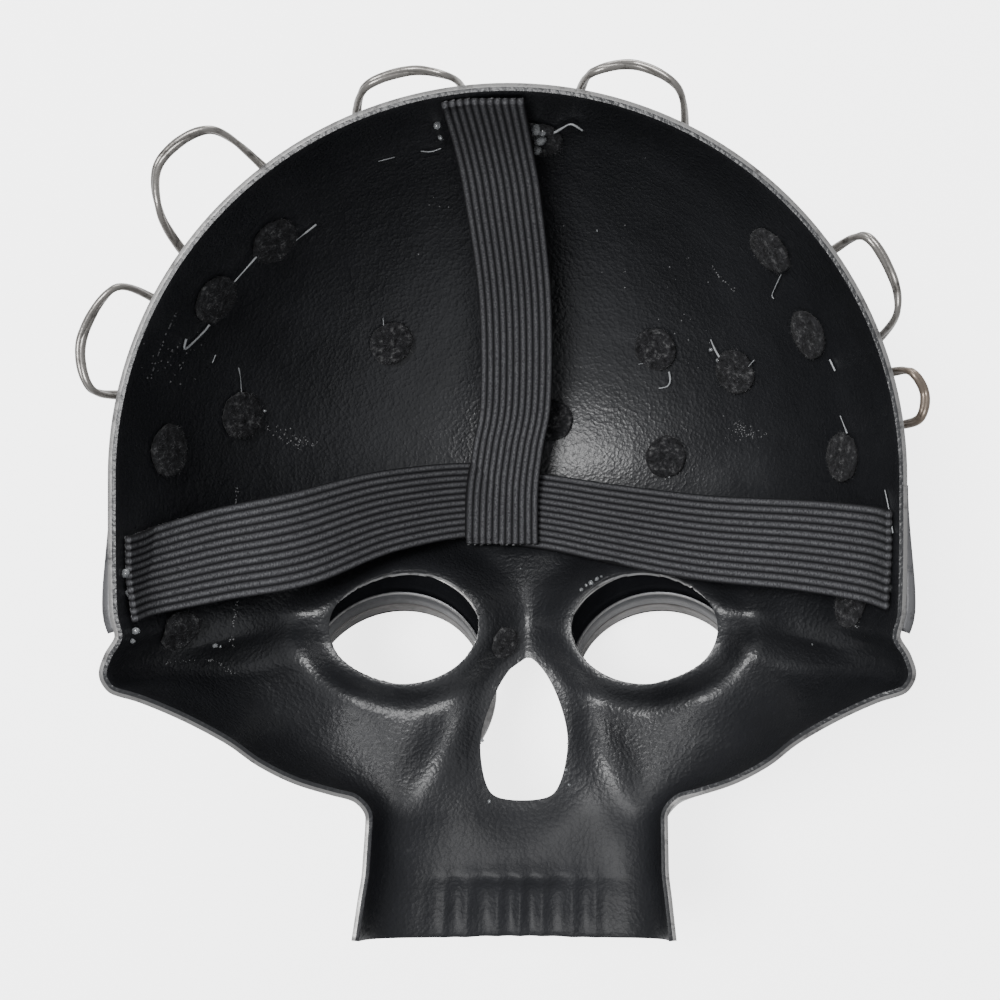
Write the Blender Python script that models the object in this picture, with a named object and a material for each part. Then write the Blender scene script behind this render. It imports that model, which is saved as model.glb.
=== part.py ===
"""Skull mask, lying face down: a hollow moulded shell, goggle rings, elastic straps, felt discs, wire loops.

Metres, +Z up, +Y towards the crown, X across the face. The floor is z = 0. Depths are measured down from the
rim plane, which is level. The mask rests on its forehead and on the two goggle bezels.
"""

import math

import bmesh
import bpy
from mathutils import Matrix, Vector
from mathutils.bvhtree import BVHTree

# Placing of the whole mask
RIM_HEIGHT = 0.0887
SHIFT_Y = 0.0053

# Shell
WALL = 0.0018
SEAT_GAP = 0.0004
CUP_GAP = 0.0008
DOME_CENTRE_Y = 0.0050
DOME_RADIUS = 0.0870
CROWN_RIM_DEPTH = 0.0030
EVEN_COLUMNS = 14
EVEN_SHARE = 0.62
SIDE_COLUMNS = 21
DOME_SECTORS = 22
ROWS_BELOW_DOME = 26

# Depth of the inner face along the midline, before the crown curves it up to the rim
MIDLINE = (
    # y, depth
    (-0.1108, 0.0337),
    (-0.0970, 0.0368),
    (-0.0895, 0.0390),
    (-0.0810, 0.0415),
    (-0.0740, 0.0445),
    (-0.0670, 0.0480),
    (-0.0570, 0.0530),
    (-0.0500, 0.0560),
    (-0.0440, 0.0576),
    (-0.0360, 0.0586),
    (-0.0270, 0.0618),
    (-0.0160, 0.0712),
    (-0.0060, 0.0800),
    (0.0050, 0.0854),
    (0.0160, 0.0876),
    (0.0350, 0.0892),
    (0.0600, 0.0894),
    (0.0926, 0.0880),
)

# Cross-sections from the forehead down to the teeth. A higher "flat" keeps the middle level for longer,
# and a higher "steep" makes the side wall more upright.
SECTIONS = (
    # name, mid_y, rim_x, rim_y, rim_depth, flat, steep
    ("forehead", 0.0050, 0.0870, 0.0050, 0.0, 2.0, 2.0),
    ("temple", -0.0045, 0.0870, -0.0060, 0.0, 2.0, 2.0),
    ("brow", -0.0140, 0.0869, -0.0165, 0.0, 2.05, 2.0),
    ("nasion", -0.0225, 0.0866, -0.0250, 0.0, 2.2, 2.0),
    ("arch_notch", -0.0285, 0.0855, -0.0303, 0.0, 2.3, 2.0),
    ("arch_top", -0.0332, 0.0880, -0.0352, 0.0, 2.4, 2.0),
    ("arch_corner", -0.0375, 0.0890, -0.0385, 0.0, 2.5, 2.1),
    ("arch_under", -0.0425, 0.0880, -0.0412, 0.0006, 2.6, 2.2),
    ("cheek_edge_1", -0.0480, 0.0826, -0.0438, 0.0030, 2.9, 2.4),
    ("cheek_edge_2", -0.0540, 0.0750, -0.0484, 0.0070, 3.2, 2.6),
    ("cheek_edge_3", -0.0605, 0.0656, -0.0554, 0.0120, 3.6, 2.8),
    ("cheek_edge_4", -0.0660, 0.0597, -0.0614, 0.0160, 4.0, 3.0),
    ("cheek_edge_5", -0.0715, 0.0520, -0.0665, 0.0193, 4.4, 3.0),
    ("cheek_end", -0.0760, 0.0443, -0.0701, 0.0230, 5.0, 3.0),
    ("jaw_corner", -0.0800, 0.0390, -0.0723, 0.0250, 5.5, 3.0),
    ("jaw_top", -0.0860, 0.0354, -0.0780, 0.0256, 6.0, 3.0),
    ("jaw_side", -0.0950, 0.0354, -0.0890, 0.0222, 6.0, 3.0),
    ("gum", -0.1010, 0.0361, -0.0965, 0.0200, 6.0, 3.0),
    ("teeth_edge", -0.1108, 0.0370, -0.1052, 0.0176, 5.0, 3.0),
)

# Swells of the relief: where each is, how far it reaches, and how much deeper (+) or shallower (-) it is.
# They are mirrored on the other side of the face.
SWELLS = (
    # name, x, y, reach_x, reach_y, turn_deg, rise
    ("cheekbone", 0.0480, -0.0550, 0.0130, 0.0080, -20.0, 0.0030),
    ("canine_ridge", 0.0215, -0.0665, 0.0055, 0.0150, 28.0, -0.0042),
    ("nose_bridge", 0.0, -0.0320, 0.0042, 0.0120, 0.0, 0.0014),
    ("brow_middle", 0.0, -0.0140, 0.0140, 0.0060, 0.0, -0.0012),
    ("arch_crease", 0.0740, -0.0350, 0.0160, 0.0032, -18.0, -0.0030),
    ("arch_channel", 0.0720, -0.0440, 0.0150, 0.0045, -18.0, 0.0030),
    ("gum_fold", 0.0, -0.0965, 0.0180, 0.0022, 0.0, -0.0010),
)

# Eye holes and the sockets round them
EYE_X = 0.0321
EYE_Y = -0.0342
EYE_HALF_WIDTH = 0.0193
EYE_HALF_HEIGHT = 0.0144
SOCKET_RISE_TOP = 0.0060
SOCKET_RISE_BOTTOM = 0.0080
SOCKET_RISE_OUTER = 0.0030
SOCKET_RISE_INNER = 0.0062
SOCKET_REACH = 0.0062
ORBIT_RIM_DISTANCE = 0.0090
ORBIT_RIM_REACH = 0.0045
ORBIT_RIM_TOP = 0.0034
ORBIT_RIM_OUTER = 0.0030

# Nose hole: half of its outline, from the point at the top to the flat foot
NOSE_OUTLINE = (
    # x, y
    (0.0, -0.0436),
    (0.0045, -0.0468),
    (0.0086, -0.0536),
    (0.0113, -0.0615),
    (0.0115, -0.0680),
    (0.0098, -0.0748),
    (0.0068, -0.0781),
    (0.0, -0.0790),
)
NOSE_MARGIN_RISE = 0.0022
NOSE_MARGIN_REACH = 0.0050

# Teeth
TOOTH_WIDTH = 0.0064
TOOTH_RELIEF = 0.0012
TEETH_STEP = 0.0014
TEETH_TOP_Y = -0.0985
TEETH_SPREAD = 0.0200

# Goggles
GOGGLE_X = 0.0360
GOGGLE_Y = -0.0466
GOGGLE_DEPTH = 0.0577
GOGGLE_PITCH = math.radians(29.0)
GOGGLE_SPLAY = math.radians(5.5)
CUP_BORE = 0.0242
CUP_LENGTH = 0.0106
SKIRT_LENGTH = 0.0200
SKIRT_BORE = 0.0262
SKIRT_WALL = 0.0022
BEZEL_BORE_BACK = 0.0246
BEZEL_BORE_FRONT = 0.0254
BEZEL_RADIUS = 0.0280
BEZEL_LENGTH = 0.0092
RING_SIDES = 30

# Silver goggle straps outside the temples, from the rim down to the goggles
TEMPLE_STRAP_THICKNESS = 0.0026
TEMPLE_STRAP_LAST_SHARE = 0.999
TEMPLE_STRAP_STEPS = 5
TEMPLE_STRAP = (
    # share, top_row, bottom_row
    (0.999, 0.15, 3.75),
    (0.970, 0.30, 3.60),
    (0.900, 0.55, 3.45),
    (0.820, 0.90, 3.35),
    (0.740, 1.25, 3.25),
)

# Elastic straps: the middle line, the width there and how far the crosswise direction leans
ELASTIC_THICKNESS = 0.0013
ELASTIC_CLEARANCE = 0.0011
STRAP_GAP = 0.0013
ELASTIC_COLUMNS = 2
ELASTIC_STEPS = 3
STRAP_ACROSS = (
    # x, y, depth, width, lean_deg
    (-0.0857, -0.0179, 0.0035, 0.0195, 9.0),
    (-0.0843, -0.0168, 0.0120, 0.0200, 10.0),
    (-0.0725, -0.0134, 0.0240, 0.0225, 11.0),
    (-0.0559, -0.0099, 0.0350, 0.0240, 13.0),
    (-0.0383, -0.0033, 0.0550, 0.0225, 12.0),
    (-0.0178, 0.0000, 0.0755, 0.0215, 6.0),
    (-0.0040, -0.0022, 0.0800, 0.0215, 0.0),
    (0.0085, -0.0040, 0.0795, 0.0215, -6.0),
    (0.0230, -0.0065, 0.0715, 0.0220, -9.0),
    (0.0472, -0.0099, 0.0500, 0.0225, -8.0),
    (0.0700, -0.0112, 0.0280, 0.0225, -6.0),
    (0.0822, -0.0125, 0.0130, 0.0225, -4.0),
    (0.0858, -0.0136, 0.0040, 0.0225, -3.0),
)
STRAP_CROWN = (
    # x, y, depth, width, lean_deg
    (-0.0062, 0.0905, 0.0050, 0.0190, 0.0),
    (-0.0052, 0.0850, 0.0210, 0.0190, 0.0),
    (-0.0041, 0.0763, 0.0340, 0.0195, 0.0),
    (-0.0029, 0.0551, 0.0570, 0.0200, 0.0),
    (-0.0039, 0.0291, 0.0715, 0.0205, 0.0),
    (-0.0064, 0.0148, 0.0742, 0.0205, 0.0),
    (-0.0078, 0.0030, 0.0744, 0.0205, 0.0),
    (-0.0076, -0.0125, 0.0690, 0.0205, 0.0),
)

# Felt discs on the inner face
FELT_THICKNESS = 0.0014
FELT_SIDES = 14
FELT_DOTS = (
    # number, x, y, radius
    (1, -0.0597, 0.0639, 0.0062),
    (2, -0.0727, 0.0487, 0.0062),
    (3, -0.0395, 0.0450, 0.0062),
    (4, -0.0739, 0.0222, 0.0062),
    (5, -0.0842, 0.0120, 0.0062),
    (6, -0.0812, -0.0312, 0.0052),
    (7, 0.0625, 0.0613, 0.0062),
    (8, 0.0732, 0.0417, 0.0062),
    (9, 0.0367, 0.0437, 0.0062),
    (10, 0.0582, 0.0356, 0.0062),
    (11, 0.0400, 0.0126, 0.0062),
    (12, 0.0816, 0.0107, 0.0062),
    (13, 0.0818, -0.0255, 0.0052),
    (14, -0.0058, -0.0392, 0.0045),
    (15, 0.0052, 0.0890, 0.0062),
    (16, 0.0058, 0.0241, 0.0062),
)

# Wire loops outside the rim: both feet on the outer wall, and three points of the bow between them
WIRE_RADIUS = 0.0011
WIRE_SIDES = 6
WIRE_STEPS = 3
FOOT_DEPTH = 0.0120
FOOT_RISE = 0.0022
FOOT_GAP = 0.0006
LOOP_POINTS = (
    # number, foot_x, foot_y, depth_1, x_1, y_1, apex_x, apex_y, x_2, y_2, end_x, end_y
    (1, -0.0775, 0.0440, 0.0020, -0.0880, 0.0475, -0.0955, 0.0360, -0.0935, 0.0250, -0.0855, 0.0235),
    (2, -0.0535, 0.0725, 0.0010, -0.0660, 0.0825, -0.0775, 0.0755, -0.0775, 0.0640, -0.0725, 0.0545),
    (3, -0.0345, 0.0850, 0.0030, -0.0320, 0.0930, -0.0220, 0.0965, -0.0135, 0.0952, -0.0110, 0.0915),
    (4, 0.0150, 0.0905, 0.0030, 0.0190, 0.0962, 0.0285, 0.0978, 0.0378, 0.0930, 0.0385, 0.0840),
    (5, 0.0715, 0.0560, 0.0020, 0.0800, 0.0590, 0.0860, 0.0500, 0.0870, 0.0420, 0.0825, 0.0365),
    (6, 0.0855, 0.0290, 0.0030, 0.0905, 0.0288, 0.0935, 0.0240, 0.0925, 0.0185, 0.0872, 0.0170),
)


def clear_scene():
    """Removes what the startup file holds."""
    for obj in list(bpy.data.objects):
        bpy.data.objects.remove(obj, do_unlink=True)


def finish_material(name, colour, roughness, metallic=0.0):
    """A Principled BSDF of one colour."""
    material = bpy.data.materials.new(name)
    material.use_nodes = True
    shader = material.node_tree.nodes["Principled BSDF"]
    shader.inputs["Base Color"].default_value = (*colour, 1.0)
    shader.inputs["Roughness"].default_value = roughness
    shader.inputs["Metallic"].default_value = metallic
    return material


def add_object(name, mesh, material):
    """Links a mesh as an object with its own material."""
    obj = bpy.data.objects.new(name, mesh)
    bpy.context.scene.collection.objects.link(obj)
    mesh.materials.append(material)
    return obj


def smooth_value(knots, values, at):
    """Value at a place between rising knots, on a curve that never overshoots them."""
    last = len(knots) - 1
    if at <= knots[0]:
        return values[0]
    if at >= knots[last]:
        return values[last]
    steps = [knots[i + 1] - knots[i] for i in range(last)]
    slopes = [(values[i + 1] - values[i]) / steps[i] for i in range(last)]

    def tangent(i):
        if i == 0 or i == last:
            return slopes[0] if i == 0 else slopes[last - 1]
        before, after = slopes[i - 1], slopes[i]
        if before * after <= 0.0:
            return 0.0
        return 2.0 * before * after / (before + after)

    cell = max(i for i in range(last) if knots[i] <= at)
    share = (at - knots[cell]) / steps[cell]
    rise = values[cell + 1] - values[cell]
    start = tangent(cell) * steps[cell]
    end = tangent(cell + 1) * steps[cell]
    square, cube = share**2, share**3
    return (
        values[cell]
        + start * (cube - 2.0 * square + share)
        + rise * (3.0 * square - 2.0 * cube)
        + end * (cube - square)
    )


def midline_depth(y):
    """Depth of the inner face on the midline, before the crown's curve."""
    return smooth_value([row[0] for row in MIDLINE], [row[1] for row in MIDLINE], y)


def section_at(place):
    """Sizes of the cross-section at a place counted in rows of SECTIONS."""
    rows = range(len(SECTIONS))
    return [smooth_value(rows, [SECTIONS[i][column] for i in rows], place) for column in range(1, 7)]


def bell(share):
    """1 at 0, falling smoothly to nothing."""
    return math.exp(-share * share)


def swell_depth(x, y):
    """Sum of the relief's swells at a place of the right half."""
    total = 0.0
    for _name, centre_x, centre_y, reach_x, reach_y, turn_deg, rise in SWELLS:
        turn = math.radians(turn_deg)
        across, along = x - centre_x, y - centre_y
        turned_x = across * math.cos(turn) + along * math.sin(turn)
        turned_y = along * math.cos(turn) - across * math.sin(turn)
        total += rise * bell(math.hypot(turned_x / reach_x, turned_y / reach_y))
    return total


def socket_depth(x, y):
    """Rise of the eye socket towards its hole, and the groove of the orbit's rim round it."""
    across, along = x - EYE_X, y - EYE_Y
    radius = math.hypot(across / EYE_HALF_WIDTH, along / EYE_HALF_HEIGHT)
    size = (EYE_HALF_WIDTH + EYE_HALF_HEIGHT) / 2.0
    beyond = max(radius - 1.0, 0.0) * size
    bearing = math.atan2(along / EYE_HALF_HEIGHT, across / EYE_HALF_WIDTH)
    upright, sideways = math.sin(bearing), math.cos(bearing)
    side = SOCKET_RISE_OUTER if sideways > 0.0 else SOCKET_RISE_INNER
    end = SOCKET_RISE_TOP if upright > 0.0 else SOCKET_RISE_BOTTOM
    rise = side * sideways**2 + end * upright**2
    groove = ORBIT_RIM_TOP * max(upright, 0.0) ** 2 + ORBIT_RIM_OUTER * max(sideways, 0.0) ** 2
    return groove * bell((beyond - ORBIT_RIM_DISTANCE) / ORBIT_RIM_REACH) - rise * bell(beyond / SOCKET_REACH)


def nose_margin_depth(x, y):
    """The raised margin round the nose hole."""
    middle = (NOSE_OUTLINE[0][1] + NOSE_OUTLINE[-1][1]) / 2.0
    half_height = (NOSE_OUTLINE[0][1] - NOSE_OUTLINE[-1][1]) / 2.0
    half_width = max(point[0] for point in NOSE_OUTLINE)
    radius = math.hypot(x / half_width, (y - middle) / half_height)
    beyond = max(radius - 1.0, 0.0) * half_width
    return NOSE_MARGIN_RISE * bell(beyond / NOSE_MARGIN_REACH)


def teeth_depth(x, y):
    """The row of upper teeth, standing proud of the gum on the outside."""
    below = (TEETH_TOP_Y - y) / 0.0012
    step = 1.0 / (1.0 + math.exp(-max(min(below, 40.0), -40.0)))
    fade = 1.0 / (1.0 + (x / TEETH_SPREAD) ** 4)
    crown = math.sin(math.pi * x / TOOTH_WIDTH) ** 2
    return step * fade * (TEETH_STEP + TOOTH_RELIEF * crown)


def relief(x, y):
    """How much deeper the moulded face is than the plain bowl, at a place in plan."""
    side = abs(x)
    return swell_depth(side, y) + socket_depth(side, y) + nose_margin_depth(side, y) + teeth_depth(side, y)


def inner_point(x, y, depth):
    """Point of the inner face, in the mask's place."""
    return Vector((x, y + SHIFT_Y, RIM_HEIGHT - depth))


def dome_point(angle, share):
    """Inner face above the forehead line: angle from +X, share of the way from the middle to the rim."""
    x = DOME_RADIUS * share * math.cos(angle)
    y = DOME_CENTRE_Y + DOME_RADIUS * share * math.sin(angle)
    rim_depth = CROWN_RIM_DEPTH * math.sin(angle) ** 2
    upright = math.sqrt(max(1.0 - share * share, 0.0))
    depth = rim_depth + (midline_depth(y) - rim_depth) * upright
    return inner_point(x, y, depth + relief(x, y) * upright)


def face_point(place, share):
    """Inner face below the forehead line: place in rows of SECTIONS, share from -1 to 1, rim to rim."""
    mid_y, rim_x, rim_y, rim_depth, flat, steep = section_at(place)
    upright = max(1.0 - abs(share) ** flat, 0.0) ** (1.0 / steep)
    x = rim_x * share
    y = mid_y + (rim_y - mid_y) * (1.0 - upright)
    depth = rim_depth + (midline_depth(mid_y) - rim_depth) * upright
    return inner_point(x, y, depth + relief(x, y) * min(1.0, 2.0 * upright))


def column_share(column):
    """Even steps over the features, then even angles up the side wall to the rim."""
    if abs(column) <= EVEN_COLUMNS:
        return EVEN_SHARE * column / EVEN_COLUMNS
    first = math.asin(EVEN_SHARE)
    beyond = (abs(column) - EVEN_COLUMNS) / (SIDE_COLUMNS - EVEN_COLUMNS)
    share = math.sin(first + (math.pi / 2.0 - first) * beyond)
    return math.copysign(share, column)


def inner_face():
    """The inner face as an open bmesh whose normals point into the hollow."""
    mesh = bmesh.new()
    last_row = len(SECTIONS) - 1
    columns = range(-SIDE_COLUMNS, SIDE_COLUMNS + 1)
    rows = []
    for step in range(ROWS_BELOW_DOME + 1):
        place = last_row * step / ROWS_BELOW_DOME
        rows.append([mesh.verts.new(face_point(place, column_share(c))) for c in columns])
    for upper, lower in zip(rows, rows[1:]):
        for i in range(len(upper) - 1):
            mesh.faces.new((upper[i], lower[i], lower[i + 1], upper[i + 1]))
    middle = rows[0][SIDE_COLUMNS]
    rays = [rows[0][SIDE_COLUMNS + 1 :]]
    for sector in range(1, DOME_SECTORS):
        angle = math.pi * sector / DOME_SECTORS
        rays.append([mesh.verts.new(dome_point(angle, column_share(c))) for c in range(1, SIDE_COLUMNS + 1)])
    rays.append(rows[0][:SIDE_COLUMNS][::-1])
    for first, second in zip(rays, rays[1:]):
        mesh.faces.new((middle, first[0], second[0]))
        for i in range(SIDE_COLUMNS - 1):
            mesh.faces.new((first[i], first[i + 1], second[i + 1], second[i]))
    mesh.normal_update()
    return mesh


def rounded_outline(points, steps):
    """A closed smooth curve through points, as a list of (x, y)."""
    count = len(points)
    outline = []
    for i in range(count):
        before, start, end, after = (Vector(points[(i + k) % count]) for k in (-1, 0, 1, 2))
        for step in range(steps):
            t = step / steps
            outline.append(
                0.5
                * (
                    2.0 * start
                    + (end - before) * t
                    + (2.0 * before - 5.0 * start + 4.0 * end - after) * t**2
                    + (3.0 * start - before - 3.0 * end + after) * t**3
                )
            )
    return outline


def add_cutter(name, outline):
    """An upright prism over an outline in plan, kept out of the render."""
    mesh = bmesh.new()
    foot = [mesh.verts.new((x, y + SHIFT_Y, -0.02)) for x, y in outline]
    face = mesh.faces.new(foot)
    raised = bmesh.ops.extrude_face_region(mesh, geom=[face])
    top = [item for item in raised["geom"] if isinstance(item, bmesh.types.BMVert)]
    bmesh.ops.translate(mesh, verts=top, vec=(0.0, 0.0, RIM_HEIGHT + 0.04))
    bmesh.ops.recalc_face_normals(mesh, faces=mesh.faces)
    data = bpy.data.meshes.new(name)
    mesh.to_mesh(data)
    mesh.free()
    obj = bpy.data.objects.new(name, data)
    bpy.context.scene.collection.objects.link(obj)
    obj.hide_render = True
    obj.display_type = "WIRE"
    return obj


def cut(obj, cutter):
    """Takes a cutter away from an object."""
    modifier = obj.modifiers.new("Cut " + cutter.name, "BOOLEAN")
    modifier.operation = "DIFFERENCE"
    modifier.solver = "EXACT"
    modifier.object = cutter


def eye_outline(side):
    """Outline of one eye hole in plan."""
    count = 36
    return [
        (
            side * EYE_X + EYE_HALF_WIDTH * math.cos(math.tau * i / count),
            EYE_Y + EYE_HALF_HEIGHT * math.sin(math.tau * i / count),
        )
        for i in range(count)
    ]


def nose_outline():
    """Outline of the nose hole in plan, mirrored from its half."""
    right = list(NOSE_OUTLINE)
    left = [(-x, y) for x, y in reversed(NOSE_OUTLINE[1:-1])]
    return rounded_outline(right + left, 3)


def build_shell():
    """The moulded shell: the inner face given its wall, with the eye and nose holes cut through."""
    data = bpy.data.meshes.new("mask_shell")
    face = inner_face()
    face.to_mesh(data)
    face.free()
    shell = add_object("mask_shell", data, finish_material("shell_black", (0.012, 0.013, 0.016), 0.38))
    wall = shell.modifiers.new("Wall", "SOLIDIFY")
    wall.thickness = WALL
    wall.offset = -1.0
    cut(shell, add_cutter("left_eye_cutter", eye_outline(-1)))
    cut(shell, add_cutter("right_eye_cutter", eye_outline(1)))
    cut(shell, add_cutter("nose_cutter", nose_outline()))
    data.shade_smooth()
    return shell


def offset_face(distance):
    """The inner face moved along its normals, away from the hollow for a positive distance."""
    face = inner_face()
    moved = [vert.co - vert.normal * distance for vert in face.verts]
    for vert, place in zip(face.verts, moved):
        vert.co = place
    face.normal_update()
    return face


def surface_tree(distance):
    """A lookup tree of the face moved along its normals."""
    face = offset_face(distance)
    tree = BVHTree.FromBMesh(face)
    face.free()
    return tree


def add_body_cutter(name, distance, up):
    """A solid that fills the space above or below the offset face."""
    face = offset_face(distance)
    far = RIM_HEIGHT + 0.12 if up else -0.12
    bottom = list(face.verts)
    top = {vert: face.verts.new((vert.co.x, vert.co.y, far)) for vert in bottom}
    edges = [edge for edge in face.edges if edge.is_boundary]
    for polygon in list(face.faces):
        face.faces.new([top[vert] for vert in reversed(polygon.verts)])
    for edge in edges:
        a, b = edge.verts
        face.faces.new((a, b, top[b], top[a]))
    bmesh.ops.recalc_face_normals(face, faces=face.faces)
    data = bpy.data.meshes.new(name)
    face.to_mesh(data)
    face.free()
    obj = bpy.data.objects.new(name, data)
    bpy.context.scene.collection.objects.link(obj)
    obj.hide_render = True
    obj.display_type = "WIRE"
    return obj


def turned_mesh(name, profile, sides):
    """A closed ring turned round its own Z from (radius, height) points, listed anticlockwise."""
    mesh = bmesh.new()
    rings = []
    for i in range(sides):
        angle = math.tau * i / sides
        rings.append(
            [mesh.verts.new((r * math.cos(angle), r * math.sin(angle), h)) for r, h in profile]
        )
    count = len(profile)
    for i in range(sides):
        first, second = rings[i], rings[(i + 1) % sides]
        for k in range(count):
            n = (k + 1) % count
            mesh.faces.new((first[k], second[k], second[n], first[n]))
    bmesh.ops.recalc_face_normals(mesh, faces=mesh.faces)
    data = bpy.data.meshes.new(name)
    mesh.to_mesh(data)
    mesh.free()
    data.shade_smooth()
    return data


def goggle_matrix(side):
    """Place of one goggle: its own +Z runs forward, out of the face and down to the floor."""
    forward = Vector(
        (
            side * math.sin(GOGGLE_SPLAY),
            -math.sin(GOGGLE_PITCH) * math.cos(GOGGLE_SPLAY),
            -math.cos(GOGGLE_PITCH) * math.cos(GOGGLE_SPLAY),
        )
    )
    across = Vector((0.0, math.cos(GOGGLE_PITCH), -math.sin(GOGGLE_PITCH))).cross(forward).normalized()
    upward = forward.cross(across)
    place = Matrix.Translation(inner_point(side * GOGGLE_X, GOGGLE_Y, GOGGLE_DEPTH))
    return place @ Matrix((across, upward, forward)).transposed().to_4x4()


def build_goggles(room_above):
    """A cup with its skirt against the mask, and a bezel in front of it, for each eye."""
    cup_profile = (
        (SKIRT_BORE, -0.0006),
        (CUP_BORE, 0.0),
        (CUP_BORE, CUP_LENGTH),
        (BEZEL_RADIUS, CUP_LENGTH),
        (BEZEL_RADIUS, -0.0010),
        (SKIRT_BORE + 0.0036 + SKIRT_WALL, -SKIRT_LENGTH),
        (SKIRT_BORE + 0.0036, -SKIRT_LENGTH),
    )
    back = CUP_LENGTH + SEAT_GAP
    front = back + BEZEL_LENGTH
    bezel_profile = (
        (BEZEL_BORE_BACK, back),
        (BEZEL_BORE_FRONT, front - 0.0006),
        (BEZEL_BORE_FRONT + 0.0006, front),
        (BEZEL_RADIUS - 0.0008, front),
        (BEZEL_RADIUS, front - 0.0008),
        (BEZEL_RADIUS, back),
    )
    for side, word in ((-1, "left"), (1, "right")):
        silver = finish_material("goggle_silver_" + word, (0.42, 0.42, 0.42), 0.42, 0.8)
        cup = add_object("goggle_cup_" + word, turned_mesh("cup", cup_profile, RING_SIDES), silver)
        cup.matrix_world = goggle_matrix(side)
        cut(cup, room_above)
        bezel_silver = finish_material("bezel_silver_" + word, (0.45, 0.44, 0.43), 0.40, 0.8)
        bezel = add_object(
            "goggle_bezel_" + word, turned_mesh("bezel", bezel_profile, RING_SIDES), bezel_silver
        )
        bezel.matrix_world = goggle_matrix(side)


def sheet_between(name, near, far):
    """A closed sheet from two grids of points that face each other."""
    mesh = bmesh.new()
    near_rows = [[mesh.verts.new(point) for point in row] for row in near]
    far_rows = [[mesh.verts.new(point) for point in row] for row in far]
    for rows in (near_rows, far_rows):
        for upper, lower in zip(rows, rows[1:]):
            for i in range(len(upper) - 1):
                mesh.faces.new((upper[i], lower[i], lower[i + 1], upper[i + 1]))
    border = [(r, 0) for r in range(len(near))]
    border += [(len(near) - 1, c) for c in range(1, len(near[0]))]
    border += [(r, len(near[0]) - 1) for r in range(len(near) - 2, -1, -1)]
    border += [(0, c) for c in range(len(near[0]) - 2, 0, -1)]
    for (r, c), (next_r, next_c) in zip(border, border[1:] + border[:1]):
        mesh.faces.new(
            (near_rows[r][c], near_rows[next_r][next_c], far_rows[next_r][next_c], far_rows[r][c])
        )
    bmesh.ops.recalc_face_normals(mesh, faces=mesh.faces)
    data = bpy.data.meshes.new(name)
    mesh.to_mesh(data)
    mesh.free()
    data.shade_smooth()
    return data


def spline_value(before, start, end, after, t):
    """Value between start and end on a curve that also heeds their neighbours."""
    bend = 2.0 * before - 5.0 * start + 4.0 * end - after
    twist = 3.0 * start - before - 3.0 * end + after
    return 0.5 * (2.0 * start + (end - before) * t + bend * t**2 + twist * t**3)


def curve_through(rows, steps):
    """A smooth open curve through rows of numbers, each row kept."""
    padded = [rows[0], *rows, rows[-1]]
    curve = []
    for before, start, end, after in zip(padded, padded[1:], padded[2:], padded[3:]):
        for step in range(steps):
            t = step / steps
            curve.append([spline_value(*numbers, t) for numbers in zip(before, start, end, after)])
    curve.append(list(rows[-1]))
    return curve


def pushed_clear(tree, point, distance, side):
    """The point moved off a surface until it is clear of it, on the normals' side (1) or the back (-1)."""
    place, normal, _index, _gap = tree.find_nearest(point)
    outward = normal * side
    short = distance - (point - place).dot(outward)
    return point + outward * short if short > 0.0 else point


def grid_normals(rows):
    """Unit normals of a grid of points."""
    normals = []
    for r, row in enumerate(rows):
        line = []
        for c in range(len(row)):
            along = rows[min(r + 1, len(rows) - 1)][c] - rows[max(r - 1, 0)][c]
            across = row[min(c + 1, len(row) - 1)] - row[max(c - 1, 0)]
            line.append(across.cross(along).normalized())
        normals.append(line)
    return normals


def thick_sheet(name, rows, thickness):
    """A closed sheet with a grid of points in the middle of its thickness."""
    normals = grid_normals(rows)
    half = thickness / 2.0
    near = [[p + n * half for p, n in zip(*pair)] for pair in zip(rows, normals)]
    far = [[p - n * half for p, n in zip(*pair)] for pair in zip(rows, normals)]
    return sheet_between(name, near, far)


def strap_grid(table, turn_deg):
    """Middle surface of a strap that follows a table; crosswise it runs at an angle from +X."""
    rows = []
    for x, y, depth, width, lean_deg in curve_through(table, ELASTIC_STEPS):
        angle = math.radians(turn_deg + lean_deg)
        crosswise = Vector((math.cos(angle), math.sin(angle), 0.0))
        middle = inner_point(x, y, depth)
        shares = [c / ELASTIC_COLUMNS - 0.5 for c in range(ELASTIC_COLUMNS + 1)]
        rows.append([middle + crosswise * (width * share) for share in shares])
    return rows


def grid_tree(rows):
    """A lookup tree of a grid of points."""
    points = [point for row in rows for point in row]
    width = len(rows[0])
    faces = [
        (r * width + c, r * width + c + 1, (r + 1) * width + c + 1, (r + 1) * width + c)
        for r in range(len(rows) - 1)
        for c in range(width - 1)
    ]
    return BVHTree.FromPolygons(points, faces)


def raised_over(tree, point, distance):
    """The point lifted until it is a distance above a sheet that passes under it."""
    place, normal, _index, _gap = tree.ray_cast(point + Vector((0.0, 0.0, 0.1)), Vector((0.0, 0.0, -1.0)))
    if place is None:
        return point
    return Vector((point.x, point.y, max(point.z, place.z + distance / max(abs(normal.z), 0.3))))


def build_elastic(inner_tree):
    """The strap from rim to rim, and the one from the crown that lies over its middle."""
    across = [
        [pushed_clear(inner_tree, point, ELASTIC_CLEARANCE, 1) for point in row]
        for row in strap_grid(STRAP_ACROSS, 90.0)
    ]
    under = grid_tree(across)
    lift = ELASTIC_THICKNESS + STRAP_GAP
    crown = [
        [raised_over(under, pushed_clear(inner_tree, point, ELASTIC_CLEARANCE, 1), lift) for point in row]
        for row in strap_grid(STRAP_CROWN, 0.0)
    ]
    for name, rows in (("strap_across", across), ("strap_crown", crown)):
        elastic = finish_material("elastic_" + name, (0.045, 0.045, 0.05), 0.9)
        add_object(name, thick_sheet(name, rows, ELASTIC_THICKNESS), elastic)


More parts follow.
